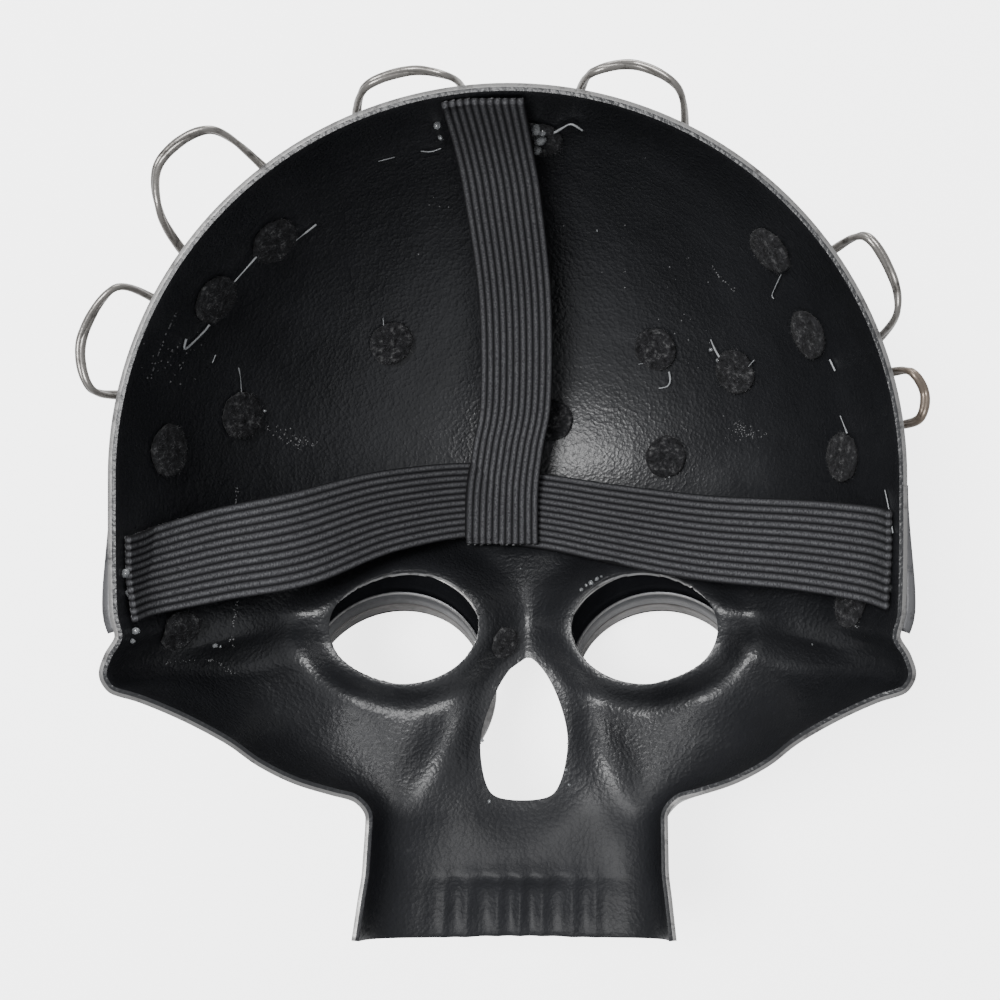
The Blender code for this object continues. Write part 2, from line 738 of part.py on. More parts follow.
def build_temple_straps(outer_tree):
    """The flat silver strap outside each temple, from the rim down the outer wall towards the goggle."""
    half = TEMPLE_STRAP_THICKNESS / 2.0
    for side, word in ((-1, "left"), (1, "right")):
        rows = []
        for share, top_row, bottom_row in curve_through(TEMPLE_STRAP, 2):
            row = []
            for step in range(TEMPLE_STRAP_STEPS + 1):
                place = top_row + (bottom_row - top_row) * step / TEMPLE_STRAP_STEPS
                point = face_point(place, side * min(share, TEMPLE_STRAP_LAST_SHARE))
                near, normal, _index, _gap = outer_tree.find_nearest(point)
                row.append(near - normal * (SEAT_GAP + half))
            rows.append(row)
        silver = finish_material("temple_strap_silver_" + word, (0.35, 0.35, 0.36), 0.45, 0.7)
        add_object("goggle_strap_" + word, thick_sheet("temple_strap", rows, TEMPLE_STRAP_THICKNESS), silver)


def build_felt(inner_tree):
    """The felt discs, each laid to the curve of the inner face."""
    for number, x, y, radius in FELT_DOTS:
        start = Vector((x, y + SHIFT_Y, RIM_HEIGHT + 0.02))
        middle, normal, _index, _gap = inner_tree.ray_cast(start, Vector((0.0, 0.0, -1.0)))
        side = normal.orthogonal().normalized()
        up = normal.cross(side)
        mesh = bmesh.new()
        near, far = [], []
        for i in range(FELT_SIDES):
            angle = math.tau * i / FELT_SIDES
            place = middle + (side * math.cos(angle) + up * math.sin(angle)) * radius
            seat, facing, _index, _gap = inner_tree.find_nearest(place)
            near.append(mesh.verts.new(seat + facing * SEAT_GAP))
            far.append(mesh.verts.new(seat + facing * (SEAT_GAP + FELT_THICKNESS)))
        near_middle = mesh.verts.new(middle + normal * SEAT_GAP)
        far_middle = mesh.verts.new(middle + normal * (SEAT_GAP + FELT_THICKNESS))
        for i in range(FELT_SIDES):
            n = (i + 1) % FELT_SIDES
            mesh.faces.new((near[n], near[i], near_middle))
            mesh.faces.new((far[i], far[n], far_middle))
            mesh.faces.new((near[i], near[n], far[n], far[i]))
        bmesh.ops.recalc_face_normals(mesh, faces=mesh.faces)
        data = bpy.data.meshes.new("felt")
        mesh.to_mesh(data)
        mesh.free()
        name = f"felt_dot_{number:02d}"
        add_object(name, data, finish_material(name, (0.03, 0.03, 0.032), 0.95))


def tube_mesh(points, radius, sides):
    """A round wire along points, with flat ends."""
    mesh = bmesh.new()
    rings = []
    reference = Vector((0.0, 0.0, 1.0))
    for i, point in enumerate(points):
        along = (points[min(i + 1, len(points) - 1)] - points[max(i - 1, 0)]).normalized()
        across = (reference - along * reference.dot(along)).normalized()
        reference = across
        up = along.cross(across)
        ring = []
        for k in range(sides):
            angle = math.tau * k / sides
            ring.append(mesh.verts.new(point + (across * math.cos(angle) + up * math.sin(angle)) * radius))
        rings.append(ring)
    for first, second in zip(rings, rings[1:]):
        for k in range(sides):
            n = (k + 1) % sides
            mesh.faces.new((first[k], first[n], second[n], second[k]))
    mesh.faces.new(rings[0][::-1])
    mesh.faces.new(rings[-1])
    bmesh.ops.recalc_face_normals(mesh, faces=mesh.faces)
    data = bpy.data.meshes.new("wire")
    mesh.to_mesh(data)
    mesh.free()
    data.shade_smooth()
    return data


def build_loops(outer_tree):
    """The wire loops, whose feet stand on the outer wall below the rim."""
    seat = WIRE_RADIUS + SEAT_GAP
    for number, foot_x, foot_y, depth, x_1, y_1, apex_x, apex_y, x_2, y_2, end_x, end_y in LOOP_POINTS:
        feet = []
        for x, y in ((foot_x, foot_y), (end_x, end_y)):
            place, normal, _index, _gap = outer_tree.find_nearest(inner_point(x, y, FOOT_DEPTH))
            feet.append((place - normal * FOOT_GAP, place - normal * (seat + FOOT_RISE)))
        bow = [inner_point(x, y, depth) for x, y in ((x_1, y_1), (apex_x, apex_y), (x_2, y_2))]
        rows = [feet[0][0], feet[0][1], *bow, feet[1][1], feet[1][0]]
        points = [Vector(row) for row in curve_through(rows, WIRE_STEPS)]
        points[1:-1] = [pushed_clear(outer_tree, point, seat, -1) for point in points[1:-1]]
        name = f"wire_loop_{number}"
        silver = finish_material(name, (0.45, 0.43, 0.40), 0.4, 0.9)
        add_object(name, tube_mesh(points, WIRE_RADIUS, WIRE_SIDES), silver)


def main():
    """Builds every piece of the mask."""
    clear_scene()
    build_shell()
    inner_tree = surface_tree(0.0)
    outer_tree = surface_tree(WALL)
    build_goggles(add_body_cutter("room_above_shell", WALL + CUP_GAP, True))
    build_temple_straps(outer_tree)
    build_elastic(inner_tree)
    build_felt(inner_tree)
    build_loops(outer_tree)


main()
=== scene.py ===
"""Looks of the skull mask that lies face down.

It has a grained black shell, goggle rings, elastic straps, felt discs, wire loops and set glue.
Metres, +Z up out of the hollow, +Y towards the crown, X across the face. Depths run down from the rim.
"""

import logging
import math
import random
from collections.abc import Callable, Sequence
from dataclasses import dataclass, field
from enum import Enum

import bmesh
import bpy
from mathutils import Matrix, Vector
from mathutils.bvhtree import BVHTree

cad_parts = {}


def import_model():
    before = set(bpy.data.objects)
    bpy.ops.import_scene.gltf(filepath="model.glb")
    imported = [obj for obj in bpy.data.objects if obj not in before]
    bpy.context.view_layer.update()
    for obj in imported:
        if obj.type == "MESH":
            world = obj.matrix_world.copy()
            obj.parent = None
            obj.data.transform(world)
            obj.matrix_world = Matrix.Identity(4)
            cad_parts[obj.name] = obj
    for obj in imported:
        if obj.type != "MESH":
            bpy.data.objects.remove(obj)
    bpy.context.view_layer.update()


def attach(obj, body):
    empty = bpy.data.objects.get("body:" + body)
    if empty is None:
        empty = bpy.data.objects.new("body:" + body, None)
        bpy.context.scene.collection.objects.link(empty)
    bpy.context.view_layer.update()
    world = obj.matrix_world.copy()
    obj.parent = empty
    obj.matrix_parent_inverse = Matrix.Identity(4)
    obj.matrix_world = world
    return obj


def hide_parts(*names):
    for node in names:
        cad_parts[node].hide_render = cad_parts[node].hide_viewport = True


logging.basicConfig(level=logging.INFO, format="%(name)s: %(message)s")
LOG = logging.getLogger("skull_mask")

RIM_HEIGHT = 0.0887
SHIFT_Y = 0.0053
WALL = 0.0018
SEAT_GAP = 0.0004
DOWN = Vector((0.0, 0.0, -1.0))
ABOVE = Vector((0.0, 0.0, 0.1))
ROOT = "root"
BARE, PAINTED, EDGE, HOLE_EDGE = range(4)
OUTSIDE_TONES = ((0.36, 0.355, 0.35), (0.10, 0.098, 0.095))

Grid = list[list[Vector]]
Surface = tuple[list[Vector], list[tuple[int, ...]]]
Colour = tuple[float, float, float]
Outline = Sequence[tuple[float, float]]
Profile = list[tuple[float, float, int]]
Table = tuple[tuple[float, ...], ...]
Socket = bpy.types.NodeSocket


class Side(Enum):
    """Left or right half of the mask, as its plan is drawn with the teeth at the foot."""

    LEFT = -1
    RIGHT = 1

    @property
    def word(self) -> str:
        """Name ending of the side's pieces."""
        return self.name.lower()


class Slot(Enum):
    """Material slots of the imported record."""

    SHELL = "shell"
    CUP = "goggle_cup"
    BEZEL = "goggle_bezel"
    TEMPLE = "goggle_strap"
    ELASTIC = "elastic"
    WIRE = "wire"
    FELT = "felt"


def mask_point(x: float, y: float, depth: float) -> Vector:
    """Point of the mask from its plan place and its depth below the rim."""
    return Vector((x, y + SHIFT_Y, RIM_HEIGHT - depth))


def bell(share: float) -> float:
    """1 at 0, falling smoothly to nothing."""
    return math.exp(-share * share)


def smooth_value(knots: Sequence[float], values: Sequence[float], at: float) -> float:
    """Reads a curve that never overshoots its knots.

    Args:
        knots: rising places.
        values: value at each place.
        at: place to read.

    Returns:
        The value there.
    """
    last = len(knots) - 1
    if at <= knots[0]:
        return values[0]
    if at >= knots[last]:
        return values[last]
    steps = [knots[i + 1] - knots[i] for i in range(last)]
    slopes = [(values[i + 1] - values[i]) / steps[i] for i in range(last)]

    def tangent(i: int) -> float:
        """Slope of the curve at one knot.

        Args:
            i: number of the knot.

        Returns:
            The slope.
        """
        if i == 0 or i == last:
            return slopes[0] if i == 0 else slopes[last - 1]
        before, after = slopes[i - 1], slopes[i]
        return 0.0 if before * after <= 0.0 else 2.0 * before * after / (before + after)

    cell = max(i for i in range(last) if knots[i] <= at)
    share = (at - knots[cell]) / steps[cell]
    rise = values[cell + 1] - values[cell]
    square, cube = share**2, share**3
    start = tangent(cell) * steps[cell] * (cube - 2.0 * square + share)
    end = tangent(cell + 1) * steps[cell] * (cube - square)
    return values[cell] + start + rise * (3.0 * square - 2.0 * cube) + end


def curve_through(rows: Sequence[Sequence[float]], steps: int) -> list[list[float]]:
    """Smooth open curve through rows of numbers.

    Args:
        rows: the rows, each of which is kept.
        steps: parts made of each stretch.

    Returns:
        The rows of the finer curve.
    """
    padded = [rows[0], *rows, rows[-1]]
    curve = []
    for stretch in zip(padded, padded[1:], padded[2:], padded[3:]):
        for step in range(steps):
            t = step / steps
            curve.append([spline_value(*numbers, t) for numbers in zip(*stretch)])
    curve.append(list(rows[-1]))
    return curve


def spline_value(before: float, start: float, end: float, after: float, t: float) -> float:
    """Value between start and end on a curve that also heeds their neighbours."""
    bend = 2.0 * before - 5.0 * start + 4.0 * end - after
    twist = 3.0 * start - before - 3.0 * end + after
    return 0.5 * (2.0 * start + (end - before) * t + bend * t**2 + twist * t**3)


def new_object(name: str, mesh: bpy.types.Mesh, *materials: bpy.types.Material) -> bpy.types.Object:
    """Links a mesh as an object at the origin.

    Args:
        name: name of the object.
        mesh: its mesh, already in place.
        materials: materials in slot order.

    Returns:
        The object.
    """
    obj = bpy.data.objects.new(name, mesh)
    bpy.context.scene.collection.objects.link(obj)
    mesh.materials.clear()
    for material in materials:
        mesh.materials.append(material)
    return obj


def mesh_from(name: str, points: Sequence[Vector], faces: Sequence[Sequence[int]]) -> bpy.types.Mesh:
    """Smooth-shaded mesh from points and faces.

    Args:
        name: name of the mesh.
        points: its points.
        faces: its faces, by point number.

    Returns:
        The mesh.
    """
    mesh = bpy.data.meshes.new(name)
    mesh.from_pydata([tuple(point) for point in points], [], faces)
    mesh.validate()
    mesh.shade_smooth()
    return mesh


def closed_outward(mesh: bpy.types.Mesh) -> None:
    """Merges doubles of a closed mesh and turns its faces outwards.

    Args:
        mesh: the mesh, changed in place.
    """
    work = bmesh.new()
    work.from_mesh(mesh)
    bmesh.ops.remove_doubles(work, verts=work.verts, dist=1e-7)
    bmesh.ops.recalc_face_normals(work, faces=work.faces)
    work.to_mesh(mesh)
    work.free()


def bake(obj: bpy.types.Object) -> None:
    """Replaces an object's mesh by what its modifiers make, and clears them.

    Args:
        obj: the mesh object with modifiers.
    """
    bpy.context.view_layer.update()
    evaluated = obj.evaluated_get(bpy.context.evaluated_depsgraph_get())
    mesh = bpy.data.meshes.new_from_object(evaluated)
    mesh.name = obj.name
    obj.modifiers.clear()
    obj.data = mesh


def finished(obj: bpy.types.Object, slot: Slot, *nodes: str) -> bpy.types.Object:
    """Declares a piece to the frame.

    Args:
        obj: the piece.
        slot: material slot of the record; not used.
        nodes: the solids that it stands for.

    Returns:
        The piece.
    """
    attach(obj, ROOT)
    if nodes:
        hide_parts(*nodes)
    LOG.info("%s: %d faces", obj.name, len(obj.data.polygons))
    return obj


class Shading:
    """A material's node tree, with short calls for the nodes that the finishes share."""

    def __init__(self, name: str) -> None:
        """Starts a Principled material.

        Args:
            name: name of the material.
        """
        self.material = bpy.data.materials.new(name)
        self.material.use_nodes = True
        self.nodes = self.material.node_tree.nodes
        self.links = self.material.node_tree.links
        self.shader = self.nodes["Principled BSDF"]
        self.place = self.nodes.new("ShaderNodeTexCoord").outputs["Object"]

    def put(self, **values: float | tuple[float, ...]) -> None:
        """Sets the shader's sockets, named with underscores for spaces."""
        for name, value in values.items():
            self.shader.inputs[name.replace("_", " ")].default_value = value

    def join(self, source: Socket | float, target: Socket) -> None:
        """Links a socket, or sets a number.

        Args:
            source: socket or number.
            target: input that takes it.
        """
        if isinstance(source, (int, float)):
            target.default_value = source
        else:
            self.links.new(source, target)

    def stretched(self, place: Socket, scale: tuple[float, float, float]) -> Socket:
        """Place scaled by its own factor along each axis.

        Args:
            place: the place.
            scale: factor for each axis.

        Returns:
            The scaled place.
        """
        node = self.nodes.new("ShaderNodeMapping")
        node.inputs["Scale"].default_value = scale
        self.links.new(place, node.inputs["Vector"])
        return node.outputs["Vector"]

    def noise(self, scale: float, detail: float = 3.0, place: Socket | None = None) -> Socket:
        """Noise from 0 to 1.

        Args:
            scale: waves to the metre.
            detail: finer layers.
            place: place it reads, if not the piece's own.

        Returns:
            The noise.
        """
        node = self.nodes.new("ShaderNodeTexNoise")
        node.inputs["Scale"].default_value = scale
        node.inputs["Detail"].default_value = detail
        self.links.new(place or self.place, node.inputs["Vector"])
        return node.outputs["Fac"]

    def shifted(self, amount: float, scale: float) -> Socket:
        """Place pushed about by noise, for wandering patterns.

        Args:
            amount: how far it is pushed.
            scale: waves to the metre.

        Returns:
            The pushed place.
        """
        node = self.nodes.new("ShaderNodeTexNoise")
        node.inputs["Scale"].default_value = scale
        self.links.new(self.place, node.inputs["Vector"])
        mix = self.nodes.new("ShaderNodeVectorMath")
        mix.operation = "MULTIPLY_ADD"
        self.links.new(node.outputs["Color"], mix.inputs[0])
        mix.inputs[1].default_value = (amount, amount, amount)
        self.links.new(self.place, mix.inputs[2])
        return mix.outputs["Vector"]

    def cells(self, scale: float, place: Socket | None = None) -> Socket:
        """Distance to the middle of the nearest cell.

        Args:
            scale: cells to the metre.
            place: place it reads, if not the piece's own.

        Returns:
            The distance, in cells.
        """
        node = self.nodes.new("ShaderNodeTexVoronoi")
        node.inputs["Scale"].default_value = scale
        self.links.new(place or self.place, node.inputs["Vector"])
        return node.outputs["Distance"]

    def sum(self, operation: str, *values: Socket | float) -> Socket:
        """One step of arithmetic.

        Args:
            operation: name of the step.
            values: sockets or numbers that it takes.

        Returns:
            The result.
        """
        node = self.nodes.new("ShaderNodeMath")
        node.operation = operation
        for value, target in zip(values, node.inputs):
            self.join(value, target)
        return node.outputs["Value"]

    def part(self, place: Socket, axis: str) -> Socket:
        """One of the three numbers of a place.

        Args:
            place: the place.
            axis: its letter.

        Returns:
            The number.
        """
        node = self.nodes.new("ShaderNodeSeparateXYZ")
        self.links.new(place, node.inputs["Vector"])
        return node.outputs[axis]

    def ramp(self, source: Socket, low: float, high: float, start: float = 0.0, end: float = 1.0) -> Socket:
        """Source between low and high, mapped to start and end.

        Args:
            source: number read.
            low: least value read.
            high: greatest value read.
            start: result at the least.
            end: result at the greatest.

        Returns:
            The mapped number.
        """
        node = self.nodes.new("ShaderNodeMapRange")
        self.join(source, node.inputs["Value"])
        for name, value in (("From Min", low), ("From Max", high), ("To Min", start), ("To Max", end)):
            node.inputs[name].default_value = value
        return node.outputs["Result"]

    def colours(self, source: Socket, *stops: tuple[float, Colour]) -> Socket:
        """Colour from a number.

        Args:
            source: the number.
            stops: place and colour of each stop.

        Returns:
            The colour.
        """
        node = self.nodes.new("ShaderNodeValToRGB")
        self.links.new(source, node.inputs["Fac"])
        elements = node.color_ramp.elements
        while len(elements) < len(stops):
            elements.new(0.5)
        for element, (place, colour) in zip(elements, stops):
            element.position = place
            element.color = (*colour, 1.0)
        return node.outputs["Color"]

    def bump(self, height: Socket, distance: float, strength: float = 1.0) -> None:
        """Bump on the shader, over any bump that is there.

        Args:
            height: the pattern.
            distance: its height in metres.
            strength: share of it that shows.
        """
        node = self.nodes.new("ShaderNodeBump")
        node.inputs["Strength"].default_value = strength
        node.inputs["Distance"].default_value = distance
        self.links.new(height, node.inputs["Height"])
        target = self.shader.inputs["Normal"]
        if target.links:
            self.links.new(target.links[0].from_socket, node.inputs["Normal"])
        self.links.new(node.outputs["Normal"], target)

    def feed(self, **sources: Socket) -> None:
        """Links sockets to the shader's inputs, named with underscores for spaces."""
        for name, source in sources.items():
            self.links.new(source, self.shader.inputs[name.replace("_", " ")])


@dataclass(frozen=True)
class GrainedPlastic:
    """Semi-gloss black plastic with a pebbled, leather-like grain."""

    name: str = "grained_black"
    grain_size: float = 0.00115
    grain_depth: float = 0.00013
    gloss: float = 0.5
    jaw_dulling: float = 0.0
    jaw_gloss: float = 0.5
    jaw_band: tuple[float, float] = (-0.077, -0.064)

    def make(self) -> bpy.types.Material:
        """Builds the material.

        Returns:
            The material.
        """
        s = Shading(self.name)
        pebbles = s.cells(1.0 / self.grain_size, s.shifted(self.grain_size, 0.5 / self.grain_size))
        rounded = s.sum("POWER", pebbles, 1.6)
        grain = s.sum("MULTIPLY_ADD", rounded, -1.0, s.noise(1500.0, 1.0))
        s.bump(grain, self.grain_depth, 0.8)
        s.bump(s.noise(95.0, 2.0), 0.0011, 0.35)
        scuff = s.noise(34.0, 5.0)
        dust = s.ramp(s.noise(420.0, 3.0), 0.62, 0.75)
        tone = s.sum("MULTIPLY_ADD", dust, 0.16, scuff)
        upward = s.part(s.place, "Y")
        dull = s.ramp(upward, *self.jaw_band, self.jaw_dulling, 0.0)
        shine = s.ramp(upward, *self.jaw_band, self.jaw_gloss, self.gloss)
        stops = ((0.30, (0.0078, 0.0082, 0.0094)), (0.62, (0.0122, 0.0127, 0.0146)))
        s.feed(
            Base_Color=s.colours(tone, *stops, (0.95, (0.030, 0.031, 0.033))),
            Roughness=s.sum("ADD", s.ramp(scuff, 0.3, 0.7, 0.33, 0.43), dull),
            Specular_IOR_Level=shine,
        )
        s.put(Coat_Weight=0.12 * self.gloss, Coat_Roughness=0.3)
        return s.material


@dataclass(frozen=True)
class SilverPaint:
    """Silver or pewter paint, rubbed darker in random patches."""

    name: str
    light: Colour
    dark: Colour
    roughness: float = 0.36
    metallic: float = 0.85
    wear_scale: float = 60.0

    def make(self) -> bpy.types.Material:
        """Builds the material.

        Returns:
            The material.
        """
        s = Shading(self.name)
        wear = s.noise(self.wear_scale, 8.0)
        patches = s.noise(self.wear_scale * 9.0, 4.0)
        mixed = s.sum("MULTIPLY_ADD", patches, 0.35, wear)
        s.feed(
            Base_Color=s.colours(mixed, (0.42, self.dark), (0.62, self.light), (0.95, self.light)),
            Roughness=s.ramp(mixed, 0.4, 0.9, self.roughness + 0.12, self.roughness - 0.05),
        )
        s.bump(s.noise(1500.0, 3.0), 0.00006, 0.6)
        s.bump(s.noise(210.0, 3.0), 0.0003, 0.4)
        s.put(Metallic=self.metallic)
        return s.material


@dataclass(frozen=True)
class RibbedElastic:
    """Dark ground of the elastic, with painted shade: darkest in the grooves between its ribs, lighter on
    their crests.
    """

    name: str
    ribs: int

    def make(self) -> bpy.types.Material:
        """Builds the material on a UV map: share across, metres along.

        Returns:
            The material.
        """
        s = Shading(self.name)
        uv = s.nodes.new("ShaderNodeUVMap")
        uv.uv_map = "UVMap"
        # Painted shade: the colour runs from light on each rib's crest to dark in the groove between the
        # ribs.
        run = s.sum("MULTIPLY", s.part(uv.outputs["UV"], "X"), math.pi * self.ribs)
        rib_shade_mask = s.sum("ABSOLUTE", s.sum("SINE", run))
        fibres = s.noise(3200.0, 4.0, s.stretched(s.place, (1.0, 0.5, 1.0)))
        tone = s.sum("MULTIPLY", rib_shade_mask, s.ramp(fibres, 0.3, 0.7, 0.5, 1.1))
        stops = ((0.15, (0.006, 0.006, 0.007)), (0.6, (0.034, 0.034, 0.037)), (1.0, (0.095, 0.096, 0.101)))
        s.feed(Base_Color=s.colours(tone, *stops))
        s.bump(fibres, 0.00012, 0.9)
        s.put(Roughness=0.9, Specular_IOR_Level=0.2)
        return s.material


@dataclass(frozen=True)
class CoveringThread:
    """Charcoal thread wound round the ribs of the elastic."""

    name: str
    light: float

    def make(self) -> bpy.types.Material:
        """Builds the material.

        Returns:
            The material.
        """
        s = Shading(self.name)
        patches = s.noise(90.0, 4.0)
        fibres = s.noise(2500.0, 3.0)
        tone = s.sum("MULTIPLY_ADD", patches, 0.30, s.sum("MULTIPLY", fibres, 0.70))
        low, middle, high = self.light * 0.42, self.light, self.light * 2.6
        stops = ((0.40, (low, low, low * 1.06)), (0.5, (middle, middle, middle * 1.05)))
        stops += ((0.63, (high, high, high * 1.03)),)
        s.feed(Base_Color=s.colours(tone, *stops), Roughness=s.ramp(fibres, 0.3, 0.7, 0.62, 0.8))
        s.bump(fibres, 0.00008, 0.8)
        s.put(Specular_IOR_Level=0.35, Sheen_Weight=0.08)
        return s.material


@dataclass(frozen=True)
class Felt:
    """Charcoal felt with matted fibres."""

    name: str = "charcoal_felt"
    tone: float = 1.0

    def make(self) -> bpy.types.Material:
        """Builds the material.

        Returns:
            The material.
        """
        s = Shading(self.name)
        mat = s.noise(1150.0, 5.0, s.shifted(0.0014, 600.0))
        clumps = s.noise(520.0, 3.0)
        mixed = s.sum("MULTIPLY_ADD", clumps, 0.5, s.sum("MULTIPLY", mat, 0.5))
        low, middle, high = (v * self.tone for v in (0.0050, 0.0210, 0.1200))
        stops = ((0.36, (low, low, low * 1.1)), (0.54, (middle, middle, middle * 1.08)))
        s.feed(Base_Color=s.colours(mixed, *stops, (0.72, (high, high, high))))
        s.bump(mat, 0.0005, 1.0)
        s.put(Roughness=0.95, Sheen_Weight=0.04, Specular_IOR_Level=0.15)
        return s.material


@dataclass(frozen=True)
class ClearGlue:
    """Set hot glue: clear to milky, with a wet shine."""

    name: str
    colour: Colour
    transmission: float
    roughness: float

    def make(self) -> bpy.types.Material:
        """Builds the material.

        Returns:
            The material.
        """
        s = Shading(self.name)
        cloud = s.noise(700.0, 3.0)
        pale = tuple(min(1.0, v * 1.35) for v in self.colour)
        s.feed(Base_Color=s.colours(cloud, (0.35, self.colour), (0.7, pale)))
        s.bump(s.noise(900.0, 2.0), 0.0002, 0.5)
        s.put(Transmission_Weight=self.transmission, Roughness=self.roughness, IOR=1.47)
        return s.material


@dataclass(frozen=True)
class Floor:
    """Plain pale floor, lit a little from below as on a light table."""

    size: float = 6.0
    tone: float = 0.98
    glow: float = 3.0

    def make(self) -> bpy.types.Object:
        """Builds the floor just under the mask.

        Returns:
            The floor, which is no part of the mask.
        """
        h = self.size / 2.0
        corners = [Vector((x, y, -0.0002)) for x, y in ((-h, -h), (h, -h), (h, h), (-h, h))]
        s = Shading("pale_floor")
        grain = s.noise(3.0, 2.0)
        low, high = self.tone - 0.006, self.tone + 0.006
        s.feed(Base_Color=s.colours(grain, (0.3, (low, low, low)), (0.7, (high, high, high))))
        s.put(Roughness=0.9, Emission_Color=(1.0, 1.0, 1.0, 1.0))
        seen = s.nodes.new("ShaderNodeLightPath").outputs["Is Camera Ray"]
        s.feed(Emission_Strength=s.sum("MULTIPLY", seen, self.glow))
        floor = new_object("floor", mesh_from("floor", corners, [(0, 1, 2, 3)]), s.material)
        return floor


class Tree:
    """A Geometry Nodes tree with named inputs, for what repeats or follows a path or a surface."""

    def __init__(self, name: str, **sizes: float) -> None:
        """Starts a tree.

        Args:
            name: name of the tree.
            sizes: its named number inputs with their usual values.
        """
        self.group = bpy.data.node_groups.new(name, "GeometryNodeTree")
        self.nodes = self.group.nodes
        self.links = self.group.links
        face = self.group.interface
        face.new_socket("Geometry", in_out="INPUT", socket_type="NodeSocketGeometry")
        for label, value in sizes.items():
            socket = face.new_socket(label, in_out="INPUT", socket_type="NodeSocketFloat")
            socket.default_value = value
        face.new_socket("Finish", in_out="INPUT", socket_type="NodeSocketMaterial")
        face.new_socket("Geometry", in_out="OUTPUT", socket_type="NodeSocketGeometry")
        self.given = self.nodes.new("NodeGroupInput").outputs

    def add(self, kind: str, **inputs: Socket | float | tuple[float, ...]) -> bpy.types.Node:
        """Adds a node and feeds it.

        Args:
            kind: full name of the node type.
            inputs: sockets or values, named with underscores for spaces.

        Returns:
            The node.
        """
        node = self.nodes.new(kind)
        for name, value in inputs.items():
            self.feed(node.inputs[name.replace("_", " ")], value)
        return node

    def feed(self, target: Socket, value: Socket | float | tuple[float, ...]) -> None:
        """Links a socket or sets a value.

        Args:
            target: input that takes it.
            value: socket or value.
        """
        if isinstance(value, bpy.types.NodeSocket):
            self.links.new(value, target)
        else:
            target.default_value = value

    def sum(self, operation: str, *values: Socket | float) -> Socket:
        """One step of arithmetic.

        Args:
            operation: name of the step.
            values: sockets or numbers that it takes.

        Returns:
            The result.
        """
        node = self.nodes.new("ShaderNodeMath")
        node.operation = operation
        for target, value in zip(node.inputs, values):
            self.feed(target, value)
        return node.outputs[0]

    def mapped(self, source: Socket, low: float, high: float, start: float, end: float) -> Socket:
        """Source between low and high, mapped to start and end.

        Args:
            source: number read.
            low: least value read.
            high: greatest value read.
            start: result at the least.
            end: result at the greatest.

        Returns:
            The mapped number.
        """
        ends = {"From_Min": low, "From_Max": high, "To_Min": start, "To_Max": end}
        node = self.add("ShaderNodeMapRange", Value=source, **ends)
        return node.outputs["Result"]

    def layer(self, kind: str, name: str) -> Socket:
        """A named attribute of the points.

        Args:
            kind: type of its values.
            name: its name.

        Returns:
            The attribute.
        """
        node = self.add("GeometryNodeInputNamedAttribute", Name=name)
        node.data_type = kind
        return node.outputs[0]

    def evened(self, length: float) -> Socket:
        """The given curve, cut in even lengths.

        Args:
            length: length of each part.

        Returns:
            The curve.
        """
        node = self.add("GeometryNodeResampleCurve", Curve=self.given["Geometry"])
        node.mode = "LENGTH"
        self.feed(node.inputs["Length"], length)
        return node.outputs[0]

    def random(self, low: float, high: float, seed: int) -> Socket:
        """A random number for each element.

        Args:
            low: least value.
            high: greatest value.
            seed: fixed seed.

        Returns:
            The number.
        """
        node = self.add("FunctionNodeRandomValue", Seed=seed)
        node.data_type = "FLOAT"
        node.inputs[2].default_value = low
        node.inputs[3].default_value = high
        return node.outputs[1]

    def random_vector(self, low: tuple[float, ...], high: tuple[float, ...], seed: int) -> Socket:
        """A random vector for each element.

        Args:
            low: least values.
            high: greatest values.
            seed: fixed seed.

        Returns:
            The vector.
        """
        node = self.add("FunctionNodeRandomValue", Seed=seed)
        node.data_type = "FLOAT_VECTOR"
        node.inputs[0].default_value = low
        node.inputs[1].default_value = high
        return node.outputs[0]

    def end(self, geometry: Socket) -> None:
        """Ends the tree: instances made real, finish set."""
        real = self.add("GeometryNodeRealizeInstances", Geometry=geometry)
        dressed = self.add("GeometryNodeSetMaterial", Geometry=real.outputs[0], Material=self.given["Finish"])
        self.links.new(dressed.outputs[0], self.nodes.new("NodeGroupOutput").inputs[0])

    def grow(
        self, name: str, source: bpy.types.Object, finish: bpy.types.Material, **sizes: float
    ) -> bpy.types.Object:
        """Runs the tree on a source object, which it uses up.

        Args:
            name: name of the piece.
            source: curve or mesh object that the tree reads.
            finish: material of the piece.
            sizes: values that differ from the usual ones.

        Returns:
            The piece as a plain mesh object.
        """
        modifier = source.modifiers.new("Grow", "NODES")
        modifier.node_group = self.group
        for item in self.group.interface.items_tree:
            if item.in_out == "INPUT" and item.name in sizes:
                modifier[item.identifier] = float(sizes[item.name])
            if item.in_out == "INPUT" and item.name == "Finish":
                modifier[item.identifier] = finish
        bpy.context.view_layer.update()
        evaluated = source.evaluated_get(bpy.context.evaluated_depsgraph_get())
        mesh = bpy.data.meshes.new_from_object(evaluated)
        mesh.name = name
        mesh.shade_smooth()
        bpy.data.objects.remove(source, do_unlink=True)
        return new_object(name, mesh, finish)


